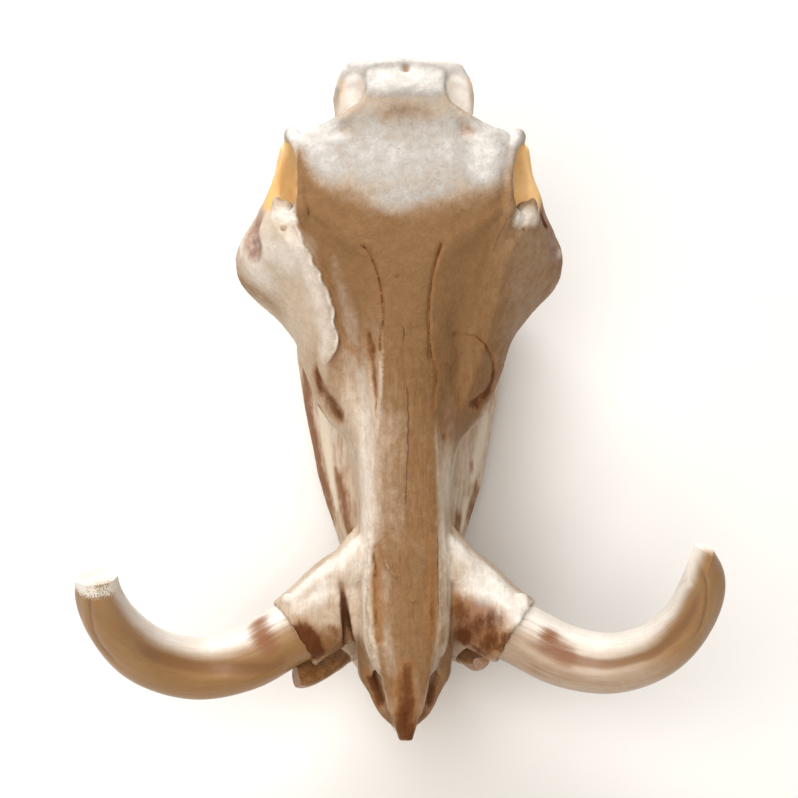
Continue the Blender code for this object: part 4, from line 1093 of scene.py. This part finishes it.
# The upper teeth: columns of hard enamel round worn, darker dentine, in two rows that grow out of the bone
# of the palate. The last tooth on each side is a long block of many columns. Two small front teeth stand
# under the tip of the nose.
ENAMEL = (0.74, 0.66, 0.52), (0.55, 0.42, 0.27)
ENAMEL_LINE = (0.34, 0.2, 0.1)
DENTINE = (0.42, 0.27, 0.14)
CHEEK_TEETH = [(8.5, 10), (11, 13), (17, 15.5), (50, 16.5)]     # length and width, front to back
FIRST_TOOTH = 172.0
TOOTH_GAP = 0.4
COLUMN_LENGTH = 8.5
COLUMN_OVERLAP = 1.18
LAST_COLUMN = 0.75     # its width, as a share of the tooth's


def tooth_column():
    """One column, a unit high and round, with a hollow worn into its top."""
    pick()
    bpy.ops.mesh.primitive_cylinder_add(vertices=20, radius=1, depth=1, location=(0, 0, -0.5))
    column = settle("tooth_column")
    bpy.ops.object.mode_set(mode="EDIT")
    work = bmesh.from_edit_mesh(column.data)
    for face in work.faces:
        face.select = face.normal.z > 0.9
    work.select_flush_mode()
    bpy.ops.mesh.inset(thickness=0.16)
    bpy.ops.mesh.inset(thickness=0.12)
    bpy.ops.transform.translate(value=(0, 0, -0.05))
    bpy.ops.mesh.inset(thickness=0.3)
    bpy.ops.transform.translate(value=(0, 0, 0.02))
    bpy.ops.object.mode_set(mode="OBJECT")
    apply_modifier(column, "BEVEL", width=0.03, segments=2, limit_method="ANGLE",
                   angle_limit=math.radians(50))
    return column


def join(pieces, name):
    """The pieces as one object of that name."""
    pick(*pieces)
    bpy.ops.object.join()
    pieces[0].name = pieces[0].data.name = name
    return pieces[0]


def cheek_teeth(name, column, crown, neck, row_half, row_angle, down):
    """Both rows of cheek teeth, each tooth in columns, from the bone to the biting level."""
    copies = []
    tall = abs(crown - neck) * (-1 if down else 1)
    for side in SIDES:
        start = FIRST_TOOTH
        for length, width in CHEEK_TEETH:
            columns = max(int(round(length / COLUMN_LENGTH)), 1)
            for place in range(columns):
                s = start + length * (place + 0.5) / columns
                x = (row_half + row_angle * (s - FIRST_TOOTH)) * side
                taper = LAST_COLUMN if place == columns - 1 and columns > 2 else 1
                tooth = column.copy()
                tooth.data = column.data.copy()
                bpy.context.scene.collection.objects.link(tooth)
                size = (width / 2 * taper, length / columns / 2 * COLUMN_OVERLAP, tall)
                tooth.data.transform(Matrix.Translation(to_scene((x, s, crown)))
                                     @ Matrix.Diagonal((*(Vector(size) * MM), 1)))
                if down:
                    tooth.data.flip_normals()
                copies.append(tooth)
            start += length + TOOTH_GAP
    return join(copies, name)


def front_teeth(name, routes):
    """The small front teeth as tapering pegs, joined into one piece."""
    return join([bar(name, route, side, up=(0, 1, 0), sides=20, steps=8)
                 for side in SIDES for route in routes], name)


def tooth_enamel(name, bite_height):
    """Cream enamel, brown where the biting surface is worn down to the dentine."""
    finish = Finish(name, IOR=1.6)
    blend, step = finish.blend, finish.step
    patches = finish.clouds(5, 4)
    grain = finish.clouds(1.2, 4, 0.6, (1, 1, 6))
    colour = blend(step(grain, 0.5, 0.7, 0.0, 0.7), blend(step(patches, 0.35, 0.65), *ENAMEL), ENAMEL_LINE)
    height = finish.node("ShaderNodeSeparateXYZ", {}, {0: finish.place}, output="Z") * (1 / MM)
    worn = step(abs(height - bite_height), 2.0, 0.2)
    colour = blend(worn * 0.7, colour, DENTINE)
    return finish.close(colour, step(patches, 0.3, 0.7, 0.28, 0.45), grain * 0.5 + patches * 0.4, 0.25)


column = tooth_column()
upper_teeth = cheek_teeth("upper_cheek_teeth", column, crown=BITE_HEIGHT + GAP / 2, neck=PALATE_HEIGHT + 8,
                          row_half=21.5, row_angle=0.045, down=True)
upper_front = front_teeth("upper_front_teeth",
                          [[(5, 24, 82, 4, 4), (5, 18, 72, 3.6, 3.2), (3.5, 15, 64, 2.4, 2)]])
upper_enamel = tooth_enamel("upper_enamel", BITE_HEIGHT)
for piece in (upper_teeth, upper_front):
    dress(piece, upper_enamel)
    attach(piece, "root")

# The lower jaw: two halves grown together at the chin, of the same dry bone but stained a redder brown by
# the ground it lay on. It carries the lower teeth and tusks and bears on the table at its chin and at its
# two rear angles; its condyles hold up the skull.
JAW_FACES = 120000
JAW_BONE = (0.68, 0.57, 0.46), (0.58, 0.45, 0.33)
JAW_STREAK, JAW_PALE = (0.55, 0.38, 0.25), (0.76, 0.66, 0.52)
# Painted shade with some dirt in hollows, and paler wear with a painted highlight on standing edges
JAW_HOLLOW_SHADE, JAW_WORN_AND_LIT, JAW_PORE = (0.30, 0.165, 0.085), (0.78, 0.67, 0.52), (0.2, 0.11, 0.06)
JAW_STAIN = (0.42, 0.2, 0.07), (0.21, 0.078, 0.024)


def jaw_pieces():
    """The bones of the lower jaw, before they are fused."""
    chin_top = curve((26, 66), (60, 62), (100, 57), (150, 54))
    chin_base = curve((26, 57), (45, 43), (70, 25), (95, 8), (112, -1.5), (132, -1.5), (150, 3))
    chin_half = curve((26, 17), (45, 23), (62, 33), (76, 35), (95, 28), (120, 27), (150, 34))
    pieces = [stretch("chin", 26, 150, 3, lambda s: oval(
        chin_half(s), chin_top(s), (chin_top(s) + chin_base(s)) / 2 + 6, chin_base(s), 3, 2.4))]
    for side in SIDES:
        pieces += [
            ribbon("jaw_body", [
                (105, 16, (20, 54), (22, 40), (22, 24), (17, 12)),
                (130, 15, (23, 54), (28, 40), (29, 22), (26, 8)),
                (152, 15, (27, 56), (33, 42), (36, 24), (34, 10)),
                (184, 16, (30, 61), (40, 43), (46, 25), (43, 12)),
                (220, 17, (32, 63), (45, 45), (53, 25), (50, 12)),
                (248, 16, (36, 68), (50, 47), (59, 25), (56, 9)),
                (266, 15, (45, 86), (55, 52), (62, 27), (60, 6)),
                (280, 13, (50, 104), (58, 66), (65, 30), (63, 3)),
                (297, 11, (52, 120), (59, 76), (65, 36), (65, 2)),
                (316, 9, (56, 132), (61, 86), (66, 42), (67, 2)),
                (331, 8, (58, 128), (62, 92), (65, 50), (66, 12)),
                (342, 6, (59, 114), (62, 94), (64, 68), (65, 40)),
            ], side),
            bar("jaw_condyle", [(47, 334, 142, 8, 8), (61, 333, 144, 9, 8.5), (75, 331, 143, 7, 7.5)], side),
            bar("jaw_neck", [(58, 318, 112, 12, 6), (60, 330, 138, 9, 8)], side, up=(1, 0, 0)),
            bar("coronoid", [(54, 296, 104, 6, 14), (58, 300, 126, 4, 10), (61, 304, 142, 3, 6)], side,
                up=(0, 1, 0)),
            bar("lower_socket", [(14, 96, 44, 14, 14), (32, 76, 54, 14, 14), (39, 67, 61, 12, 12)], side),
            lump("tooth_bone", (32, 240, 56), (12, 34, 12), side),
        ]
    return pieces


def lower_tusk_route(side):
    """A lower tusk's middle line with its radii, from its root in the jaw."""
    left = [(46, 55, 73, 1.0), (55, 47, 83, 1.0), (63, 42, 90, 0.9), (67, 40, 94, 0.6)]
    right = [(43.6, 58.3, 69, 1.0), (46, 54, 78, 0.85), (47, 52, 86, 0.6)]
    root = [(34, 73, 53, 1.0), (39.5, 64.5, 62, 1.0)]
    return radii(root + (right if side > 0 else left), 9.0, 0.75)


bones = jaw_pieces()
jaw = combine(bones[0], bones[1:], "UNION")
combine(jaw, [
    bar("tongue_room", [(0, 60, 76, 12, 12), (0, 100, 72, 12, 24), (0, 150, 48, 19, 44),
                        (0, 200, 40, 24, 60)], sides=32),
], "DIFFERENCE")
jaw.name = jaw.data.name = "jaw_bone"
even_skin(jaw)
sculpt(jaw, both_sides([
    ([(66, 300, 60)], (12, 26, 40), -2.5), ([(40, 120, 34), (46, 170, 36), (58, 230, 36)], 9, -1.0),
    ([(30, 100, 36)], 3, -2.5), ([(44, 176, 40)], 2.5, -2.0),
    ([(52, 262, 92), (56, 262, 60), (62, 268, 30)], 4, 1.2),
]) + [([(0, 80, 30)], (20, 20, 20), -1)])
roughen(jaw, both_sides([
    ([(66, 320, 20), (66, 290, 8), (62, 262, 10)], 14, 1.2), ([(30, 80, 44)], 20, 0.6),
]), 4.0)
uneven(jaw, 14, 0.8)
uneven(jaw, 3.5, 0.3)
thin_out(jaw, JAW_FACES)
cutters = [
    block("floor", (-120, 0, -40), (120, 380, 0)),
    block("bite", (-60, 150, BITE_HEIGHT - GAP / 2), (60, 261.5, BITE_HEIGHT + 20)),
]
for side in SIDES:
    near, far = sorted((40 * side, 84 * side))
    cutters.append(block("hinge", (near, 318, HINGE_HEIGHT - GAP / 2), (far, 352, HINGE_HEIGHT + 20)))
    cutters.append(socket(lower_tusk_route(side), side, 40))
combine(jaw, cutters, "DIFFERENCE")
largest_body(jaw)
paint(jaw, "brown_marks", [
    ([(-64, 255, 40), (-63, 243, 32), (-58, 215, 30), (-52, 190, 30), (-45, 168, 28)], (12, 24, 20), 1.25),
    ([(-43, 186, 53, 0.5), (-39, 172, 55, 1), (-37, 158, 55, 1.2), (-34, 144, 54, 1)], (11, 12, 12), 1.1),
    ([(36, 152, 53), (37, 134, 52)], 12, 1.05), ([(52, 178, 34), (45, 160, 30)], 13, 1.0),
    ([(46, 188, 50)], 9, 0.7), ([(60, 240, 42), (62, 275, 60)], (8, 24, 26), 0.6),
    ([(40, 176, 56)], 5, 0.6), ([(0, 60, 30)], 30, 0.5),
])
paint(jaw, "pale", [
    ([(-56, 238, 52, 0.8), (-51, 214, 50, 1.2), (-47, 190, 48, 1), (-42, 165, 44, 0.7)], (8, 12, 10), 1.0),
    ([(57, 226, 40, 0.8), (53, 206, 42, 1.3), (47, 184, 46, 0.8)], (9, 12, 11), 1.0),
    ([(41.6, 165, 47), (38, 150, 42)], 9, 1.0),
])
paint_relief(jaw, "relief", 2.2)
paint_relief(jaw, "hollow", 8)


def stained_bone():
    """The jaw's bone: tan, with red-brown earth stains, pale rubbed streaks and open pores."""
    finish = Finish("stained_bone", Subsurface_Weight=0.04, Subsurface_Scale=0.002, Specular_IOR_Level=0.12)
    blend, step, clouds, mark = finish.blend, finish.step, finish.clouds, finish.mark
    broad = clouds(26, 3)
    patches = clouds(9, 5, 0.62)
    grain = clouds(1.4, 4, 0.65)
    streaks = clouds(3.0, 4, 0.6, (1, 7, 2))
    spots, lines = patches - 0.5, streaks - 0.5
    colour = blend(step(broad, 0.35, 0.65), *JAW_BONE)
    colour = blend(step(streaks, 0.4, 0.7, 0.0, 0.6), colour, JAW_STREAK, "MULTIPLY")
    pale = step(mark("pale") + lines * 1.3 + spots, 0.15, 0.9)
    colour = blend(pale * 0.9, colour, JAW_PALE)
    # Painted shade with some dirt in the hollows, and paler wear with a painted highlight on standing edges.
    hollow_shade = step(mark("hollow") + patches * 0.8, 0.1, -1.6)
    colour = blend(hollow_shade * 0.5, colour, JAW_HOLLOW_SHADE)
    worn = step(mark("relief"), 0.02, 0.22) * step(patches, 0.3, 0.6)
    colour = blend(worn * 0.5, colour, JAW_WORN_AND_LIT)
    brown_marks = step(mark("brown_marks") + spots * 1.1 + lines * 0.9, 0.15, 1.15)
    colour = blend(brown_marks * 0.9, colour, blend(brown_marks, *JAW_STAIN))
    pitted = step(finish.pores(2.6), 0.18, 0.06) * step(patches, 0.45, 0.6)
    colour = blend(pitted * 0.6, colour, JAW_PORE)
    roughness = step(patches, 0.3, 0.7, 0.5, 0.68) - worn * 0.1
    return finish.close(colour, roughness, grain * 0.4 + streaks * 0.8 + patches * 0.3 - pitted * 0.8, 0.35)


dress(jaw, stained_bone())
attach(jaw, "root")
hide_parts("mandible")

# The lower teeth: rows like the upper ones, which they meet at one biting level, and six pegs that slope
# forward out of the chin.
lower_teeth = cheek_teeth("lower_cheek_teeth", column, crown=BITE_HEIGHT - GAP / 2, neck=54,
                          row_half=22, row_angle=0.06, down=False)
bpy.data.objects.remove(column, do_unlink=True)
lower_front = front_teeth("lower_front_teeth", [
    [(x * 0.9, 50, 56, 4, 4), (x, 34, 63, 3.4, 3), (x * 1.04, tip, 70, 2.8, 1.8)]
    for x, tip in ((3.6, 22), (8.8, 25), (14.0, 28))
])
lower_enamel = tooth_enamel("lower_enamel", BITE_HEIGHT)
for piece in (lower_teeth, lower_front):
    dress(piece, lower_enamel)
    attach(piece, "root")

# The upper tusks: solid ivory that grows on through life, out of a bony socket on each side of the snout
# in a wide curve. Each is fluted lengthwise, with painted shade in its flutes, cream on its upper side and
# tan below, partly the ivory's own colours and partly a painted highlight and painted shade, with a brown
# band where the gum was. The left one has lost its point, and the right one is worn to a slanting facet.
TUSK_SIDES = 72
TUSK_STEPS = 110
FLUTE_DEPTH, FLUTE_WIDTH = 1.9, 26       # millimetres, and degrees round the tusk
SCORE_DEPTH, SCORE_WIDTH = 1.0, 13
SHOULDER_DEPTH, SHOULDER_WIDTH = 0.8, 34
CRACK_SCALE = (160, 160, 14)             # cells in each metre across and along
STRAIGHT_RADIUS, STRAIGHT_LENGTH = 18, 205     # of the straightened tusk that patterns follow
# The ivory's own cream and tan: the cream stands partly for a painted highlight on the upper side, and the
# tan partly for painted shade below
TUSK_WHITE = (0.80, 0.745, 0.67), (0.86, 0.82, 0.765)
TUSK_TAN = (0.31, 0.167, 0.062), (0.36, 0.205, 0.087)
TUSK_LINE, TUSK_RING = (0.62, 0.45, 0.29), (0.68, 0.52, 0.36)
# FLUTE_SHADE: painted shade along the flutes
FLUTE_SHADE, SCORE, BAND = (0.25, 0.125, 0.055), (0.21, 0.11, 0.055), (0.24, 0.088, 0.025)
TUSK_CRACK, TUSK_CHIP = (0.34, 0.2, 0.11), (0.88, 0.84, 0.76)


def straight_root(route):
    """The route with a point added so that the root stays straight in its socket."""
    start, after = np.array(route[0]), np.array(route[1])
    return [tuple(start), tuple((start + after) / 2), tuple(after)] + route[2:]


def ring_marks(sides, steps, side):
    """How far along a tusk each vertex is, and its angle round it: 0 on the back and 90 on top."""
    along = np.repeat(np.arange(steps + 1) / steps, sides)
    turn = np.tile(np.arange(sides) * math.tau / sides + math.pi / 2, steps + 1)
    return along, (turn if side > 0 else math.pi - turn) % math.tau


def angle_from(turn, centre):
    """Each angle's distance from the centre in degrees, from -180 to 180."""
    return (np.degrees(turn) - centre + 180) % 360 - 180


def angle_near(turn, centre, width):
    """How near each angle is to the centre, in degrees: 1 on it, and 0 from the width on."""
    return np.clip(1 - (angle_from(turn, centre) / width) ** 2, 0, 1) ** 2


def window(along, start, end, soft):
    """1 between the start and the end of a stretch, and fading to 0 within the soft length."""
    soft /= 2
    return ramp(along, start - soft, start + soft) * ramp(along, end + soft, end - soft)


def write_place(piece, along, turn, radius, length):
    """Keeps each vertex's place on the straightened tusk, in millimetres, for patterns that follow it."""
    layer = piece.data.attributes.new("straight", "FLOAT_VECTOR", "POINT")
    places = np.stack([np.cos(turn) * radius, np.sin(turn) * radius, along * length], axis=1)
    layer.data.foreach_set("vector", places.astype(np.float32).ravel())


def beside_line(along, turn, line, width):
    """How near each vertex is to a line round the tusk, given as (along, angle) knots."""
    places, angles = zip(*line)
    near = angle_near(turn, np.interp(along, places, angles), width)
    return near * window(along, places[0], places[-1], 0.12)


def upper_tusk(name, side, line, flute):
    """One upper tusk: rings bridged along its sweep, then fluted and scored along its length."""
    tusk = bar(name, straight_root(tusk_route(side)), side, sides=TUSK_SIDES, steps=TUSK_STEPS,
               round_ends=False)
    along, turn = ring_marks(TUSK_SIDES, TUSK_STEPS, side)
    shoulder = [(place, angle + SHOULDER_WIDTH) for place, angle in line]
    push_out(tusk, -FLUTE_DEPTH * beside_line(along, turn, flute, FLUTE_WIDTH)
             - SCORE_DEPTH * beside_line(along, turn, line, SCORE_WIDTH)
             - SHOULDER_DEPTH * beside_line(along, turn, shoulder, SHOULDER_WIDTH))
    # The flute mark, read for the painted shade along the flutes.
    write_mark(tusk, "flute", beside_line(along, turn, flute, 22 if side < 0 else 18))
    write_mark(tusk, "line", beside_line(along, turn, line, 8))
    # white_edge is where the painted highlight on the upper side gives way to the tan below, partly painted
    # shade.
    white_edge = np.interp(along, (0.0, 0.4, 0.6, 0.75, 0.9, 1.0), (84, 76, 62, 50, 28, 10))
    below = angle_from(turn, white_edge)
    tanned = np.interp(along, (0.0, 0.5, 0.75), (0.65, 0.6, 1)) if side > 0 else 1
    write_mark(tusk, "below", ramp(below, -22, 22) * ramp(below, 175, 125) * tanned)
    write_place(tusk, along, turn, STRAIGHT_RADIUS, STRAIGHT_LENGTH)
    return tusk


def cut_tip(tusk, spot, direction, reach=0.05):
    """Takes off what lies beyond a plane near the tip, and closes the cut."""
    pick(tusk)
    bpy.ops.object.mode_set(mode="EDIT")
    bpy.ops.mesh.select_all(action="DESELECT")
    work = bmesh.from_edit_mesh(tusk.data)
    for face in work.faces:
        face.select = (face.calc_center_median() - Vector(to_scene(spot))).length < reach
    work.select_flush_mode()
    bpy.ops.mesh.bisect(plane_co=to_scene(spot), plane_no=direction, use_fill=True, clear_outer=True)
    bpy.ops.object.mode_set(mode="OBJECT")


def smooth_sides(piece):
    """Smooth shading, apart from the edges of cuts and ends."""
    pick(piece)
    bpy.ops.object.shade_smooth_by_angle(angle=math.radians(40))


def ivory():
    """Satin ivory: cream above and tan below, partly painted highlight and shade, with flutes browned by
    painted shade, a stained band and hair cracks.
    """
    finish = Finish("ivory", Subsurface_Weight=0.08, Subsurface_Scale=0.003,
                    Subsurface_Radius=(1.0, 0.7, 0.45), IOR=1.54, Specular_IOR_Level=0.3, Coat_Weight=0.05,
                    Coat_Roughness=0.35)
    blend, step, clouds, mark = finish.blend, finish.step, finish.clouds, finish.mark
    straight = finish.node("ShaderNodeAttribute", {"attribute_name": "straight"}, output="Vector")
    finish.place = finish.node("ShaderNodeVectorMath", {"operation": "SCALE"}, {0: straight, "Scale": MM})
    broad = clouds(16, 3, 0.5, (1, 1, 2.5))
    patches = clouds(7, 4, 0.6, (1, 1, 3))
    lines = clouds(1.1, 4, 0.6, (1, 1, 30))
    rings = clouds(2.4, 3, 0.5, (12, 12, 1))
    grain = clouds(1.0, 3)
    spots = patches - 0.5
    # Cream above and tan below: partly the ivory's own colours, partly a painted highlight and painted shade.
    below = step(mark("below") + spots * 0.2, 0.1, 0.9)
    white, tan = blend(step(broad, 0.35, 0.65), *TUSK_WHITE), blend(step(broad, 0.3, 0.7), *TUSK_TAN)
    colour = blend(below, white, tan)
    colour = blend(step(lines, 0.45, 0.75, 0.0, 0.25), colour, TUSK_LINE, "MULTIPLY")
    colour = blend(step(rings, 0.5, 0.75, 0.0, 0.12), colour, TUSK_RING, "MULTIPLY")
    # The flutes darkened with painted shade.
    colour = blend(step(mark("flute") + spots * 0.2, 0.1, 0.9) * 0.85, colour, FLUTE_SHADE)
    colour = blend(step(mark("line"), 0.25, 0.8) * 0.7, colour, SCORE)
    colour = blend(step(mark("band") + spots * 0.5 + (lines - 0.5) * 0.9, 0.05, 1.1), colour, BAND)
    place = finish.node("ShaderNodeVectorMath", {"operation": "MULTIPLY"},
                        {0: finish.place, 1: CRACK_SCALE})
    cracks = finish.node("ShaderNodeTexVoronoi", {"feature": "DISTANCE_TO_EDGE"},
                         {"Vector": place, "Scale": 1.0})
    crack = step(cracks + (lines - 0.5) * 0.03, 0.02, 0.004) * step(broad, 0.55, 0.7)
    colour = blend(crack * 0.35, colour, TUSK_CRACK)
    chip = step(mark("chip") + (grain - 0.5) * 0.6, 0.35, 0.5)
    colour = blend(chip, colour, TUSK_CHIP)
    height = lines * 0.4 + rings * 0.25 + patches * 0.4 - crack * 0.8 + chip * grain
    return finish.close(colour, step(patches, 0.3, 0.7, 0.32, 0.44) + chip * 0.3, height, 0.16)


upper_ivory = ivory()
TUSK_LINES = {
    -1: [(0.66, 148), (0.74, 145), (0.8, 135), (0.87, 112), (0.93, 92), (1.06, 80)],
    1: [(0.71, 124), (0.78, 110), (0.845, 95), (0.91, 70), (1.0, 40)],
}
TUSK_FLUTES = {
    -1: [(0.17, 145), (0.245, 125), (0.31, 106), (0.41, 98), (0.51, 94), (0.62, 86), (0.68, 82)],
    1: [(0.14, 110), (0.23, 106), (0.39, 103), (0.555, 97), (0.645, 90), (0.73, 84), (0.81, 75), (0.88, 62)],
}
TUSK_BANDS = {
    -1: [([(-87, 69, 115), (-86, 63, 119), (-82, 57, 120)], (13, 12, 13), 1.0),
         ([(-76, 50, 112), (-95, 46, 112)], 9, 0.6)],
    1: [([(86, 60, 120), (90, 54, 120), (96, 50, 120)], 12, 0.95),
        ([(80, 47, 108), (100, 43, 110)], 10, 0.7)],
}
TUSK_CUTS = {     # a spot on the cut and its direction, then where the ivory is chipped pale and how far
    -1: ((-173, 79.6, 190.7), (-0.1, 0.8, 0.6), (-173, 79.6, 190.7), (23, 20, 20)),
    1: ((161.2, 88, 199), (-0.72, -0.35, 0.6), (162, 93, 205), 9),
}
SIDE_WORDS = ((-1, "left"), (1, "right"))
for side, word in SIDE_WORDS:
    tusk = upper_tusk("upper_tusk_" + word, side, TUSK_LINES[side], TUSK_FLUTES[side])
    paint(tusk, "band", TUSK_BANDS[side])
    spot, direction, chipped, reach = TUSK_CUTS[side]
    cut_tip(tusk, spot, direction)
    paint(tusk, "chip", [([chipped], reach, 1.0)])
    dress(tusk, upper_ivory)
    smooth_sides(tusk)
    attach(tusk, "root")
    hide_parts("tusk_upper_" + word)

# The lower tusks: short, flat, hard blades of ivory, ground sharp against the upper ones and stained dark
# amber. Each grows out of a socket low in the jaw and lies close under the root of the upper tusk.
BLADE_SIDES = BLADE_STEPS = 40
DARK_IVORY = (0.24, 0.112, 0.037), (0.335, 0.17, 0.06)
DARK_LINE = (0.4, 0.25, 0.13)


def old_ivory():
    """Dark amber ivory with fine lines along it."""
    finish = Finish("old_ivory", Subsurface_Weight=0.05, Subsurface_Scale=0.002, IOR=1.54, Coat_Weight=0.15)
    blend, step = finish.blend, finish.step
    patches = finish.clouds(6, 4, 0.6)
    lines = finish.clouds(1.0, 4, 0.6, (1, 1, 8))
    colour = blend(step(patches, 0.35, 0.65), *DARK_IVORY)
    colour = blend(step(lines, 0.45, 0.7, 0.0, 0.7), colour, DARK_LINE, "MULTIPLY")
    return finish.close(colour, step(patches, 0.3, 0.7, 0.3, 0.45), lines * 0.6 + patches * 0.4, 0.2)


lower_ivory = old_ivory()
for side, word in SIDE_WORDS:
    blade = bar("lower_tusk_" + word, straight_root(lower_tusk_route(side)), side, sides=BLADE_SIDES,
                steps=BLADE_STEPS, round_ends=False)
    along, turn = ring_marks(BLADE_SIDES, BLADE_STEPS, side)
    ground_flat = -2.4 * angle_near(turn, 75, 55) - 1.6 * angle_near(turn, 190, 50)
    push_out(blade, ground_flat * window(along, 0.45, 1.1, 0.2))
    if side < 0:
        cut_tip(blade, (-65, 41, 92), (-0.85, -0.1, 0.5), reach=0.02)
    dress(blade, lower_ivory)
    smooth_sides(blade)
    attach(blade, "root")
    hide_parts("tusk_lower_" + word)

# The studio: a wide pale floor, two broad soft lights, one high behind the skull and one above it, a weak
# warm one in front, and the camera that looks steeply down the face.
FLOOR_SIZE = 8.0
FLOOR_DROP = 0.0004     # keeps the floor clear of the jaw's flats
PAPER = (0.86, 0.855, 0.85), (0.89, 0.885, 0.88)
pick()
bpy.ops.mesh.primitive_plane_add(size=FLOOR_SIZE, location=(0, 0, -FLOOR_DROP))
floor = settle("floor")
paper = Finish("floor_paper")
speckle = paper.clouds(60, 3)
floor.data.materials.append(
    paper.close(paper.blend(speckle, *PAPER), paper.step(speckle, 0.3, 0.7, 0.7, 0.8), speckle, 0.05))

TARGET = Vector(to_scene((0, 200, 150)))     # where the lights and the camera point
LIGHT_DISTANCE = 1.9
ROOM_COLOUR = (1.0, 0.94, 0.87, 1)
ROOM_STRENGTH = 0.28


def soft_light(name, direction, size, power, colour):
    """A square soft light that shines on the skull from a direction."""
    lamp = bpy.data.lights.new(name, "AREA")
    lamp.size = size
    lamp.energy = power
    lamp.color = colour
    stand = bpy.data.objects.new(name, lamp)
    bpy.context.scene.collection.objects.link(stand)
    direction = Vector(direction).normalized()
    stand.location = TARGET + direction * LIGHT_DISTANCE
    stand.rotation_euler = direction.to_track_quat("Z", "Y").to_euler()


soft_light("window", (-0.30, 0.84, 0.64), 1.3, 31, (1.0, 0.985, 0.96))
soft_light("ceiling", (-0.25, -0.30, 1.0), 1.6, 31, (1.0, 0.97, 0.93))
soft_light("warm_fill", (0.25, -1.0, 0.75), 1.6, 3, (1.0, 0.76, 0.52))
world = bpy.data.worlds.new("studio")
world.use_nodes = True
background = world.node_tree.nodes["Background"]
background.inputs["Color"].default_value = ROOM_COLOUR
background.inputs["Strength"].default_value = ROOM_STRENGTH
bpy.context.scene.world = world
bpy.context.scene.view_settings.view_transform = "Standard"

FRAME_PIXELS = 798
SENSOR = 36.0
FOCAL_PIXELS = 1650.0         # the photo's perspective, as seen from a metre away
MIDDLE_PIXEL = 404.8          # where the skull's middle falls in the frame
ELEVATION = math.radians(70)
ROLL = math.radians(-0.42)
ASIDE = -0.023                # how far left of the middle plane the camera stands
backward = Vector((ASIDE, -math.cos(ELEVATION), math.sin(ELEVATION))).normalized()
right = Vector((0, 1, 0)).cross(backward).normalized()
upward = backward.cross(right)
rolled_right = right * math.cos(ROLL) + upward * math.sin(ROLL)
rolled_up = upward * math.cos(ROLL) - right * math.sin(ROLL)
lens = bpy.data.cameras.new("camera")
lens.sensor_width = SENSOR
lens.lens = FOCAL_PIXELS * SENSOR / FRAME_PIXELS
lens.shift_x = -(MIDDLE_PIXEL - FRAME_PIXELS / 2) / FRAME_PIXELS
camera = bpy.data.objects.new("camera", lens)
bpy.context.scene.collection.objects.link(camera)
camera.matrix_world = Matrix.Translation(TARGET + backward) @ Matrix(
    (rolled_right, rolled_up, backward)).transposed().to_4x4()
bpy.context.scene.camera = camera
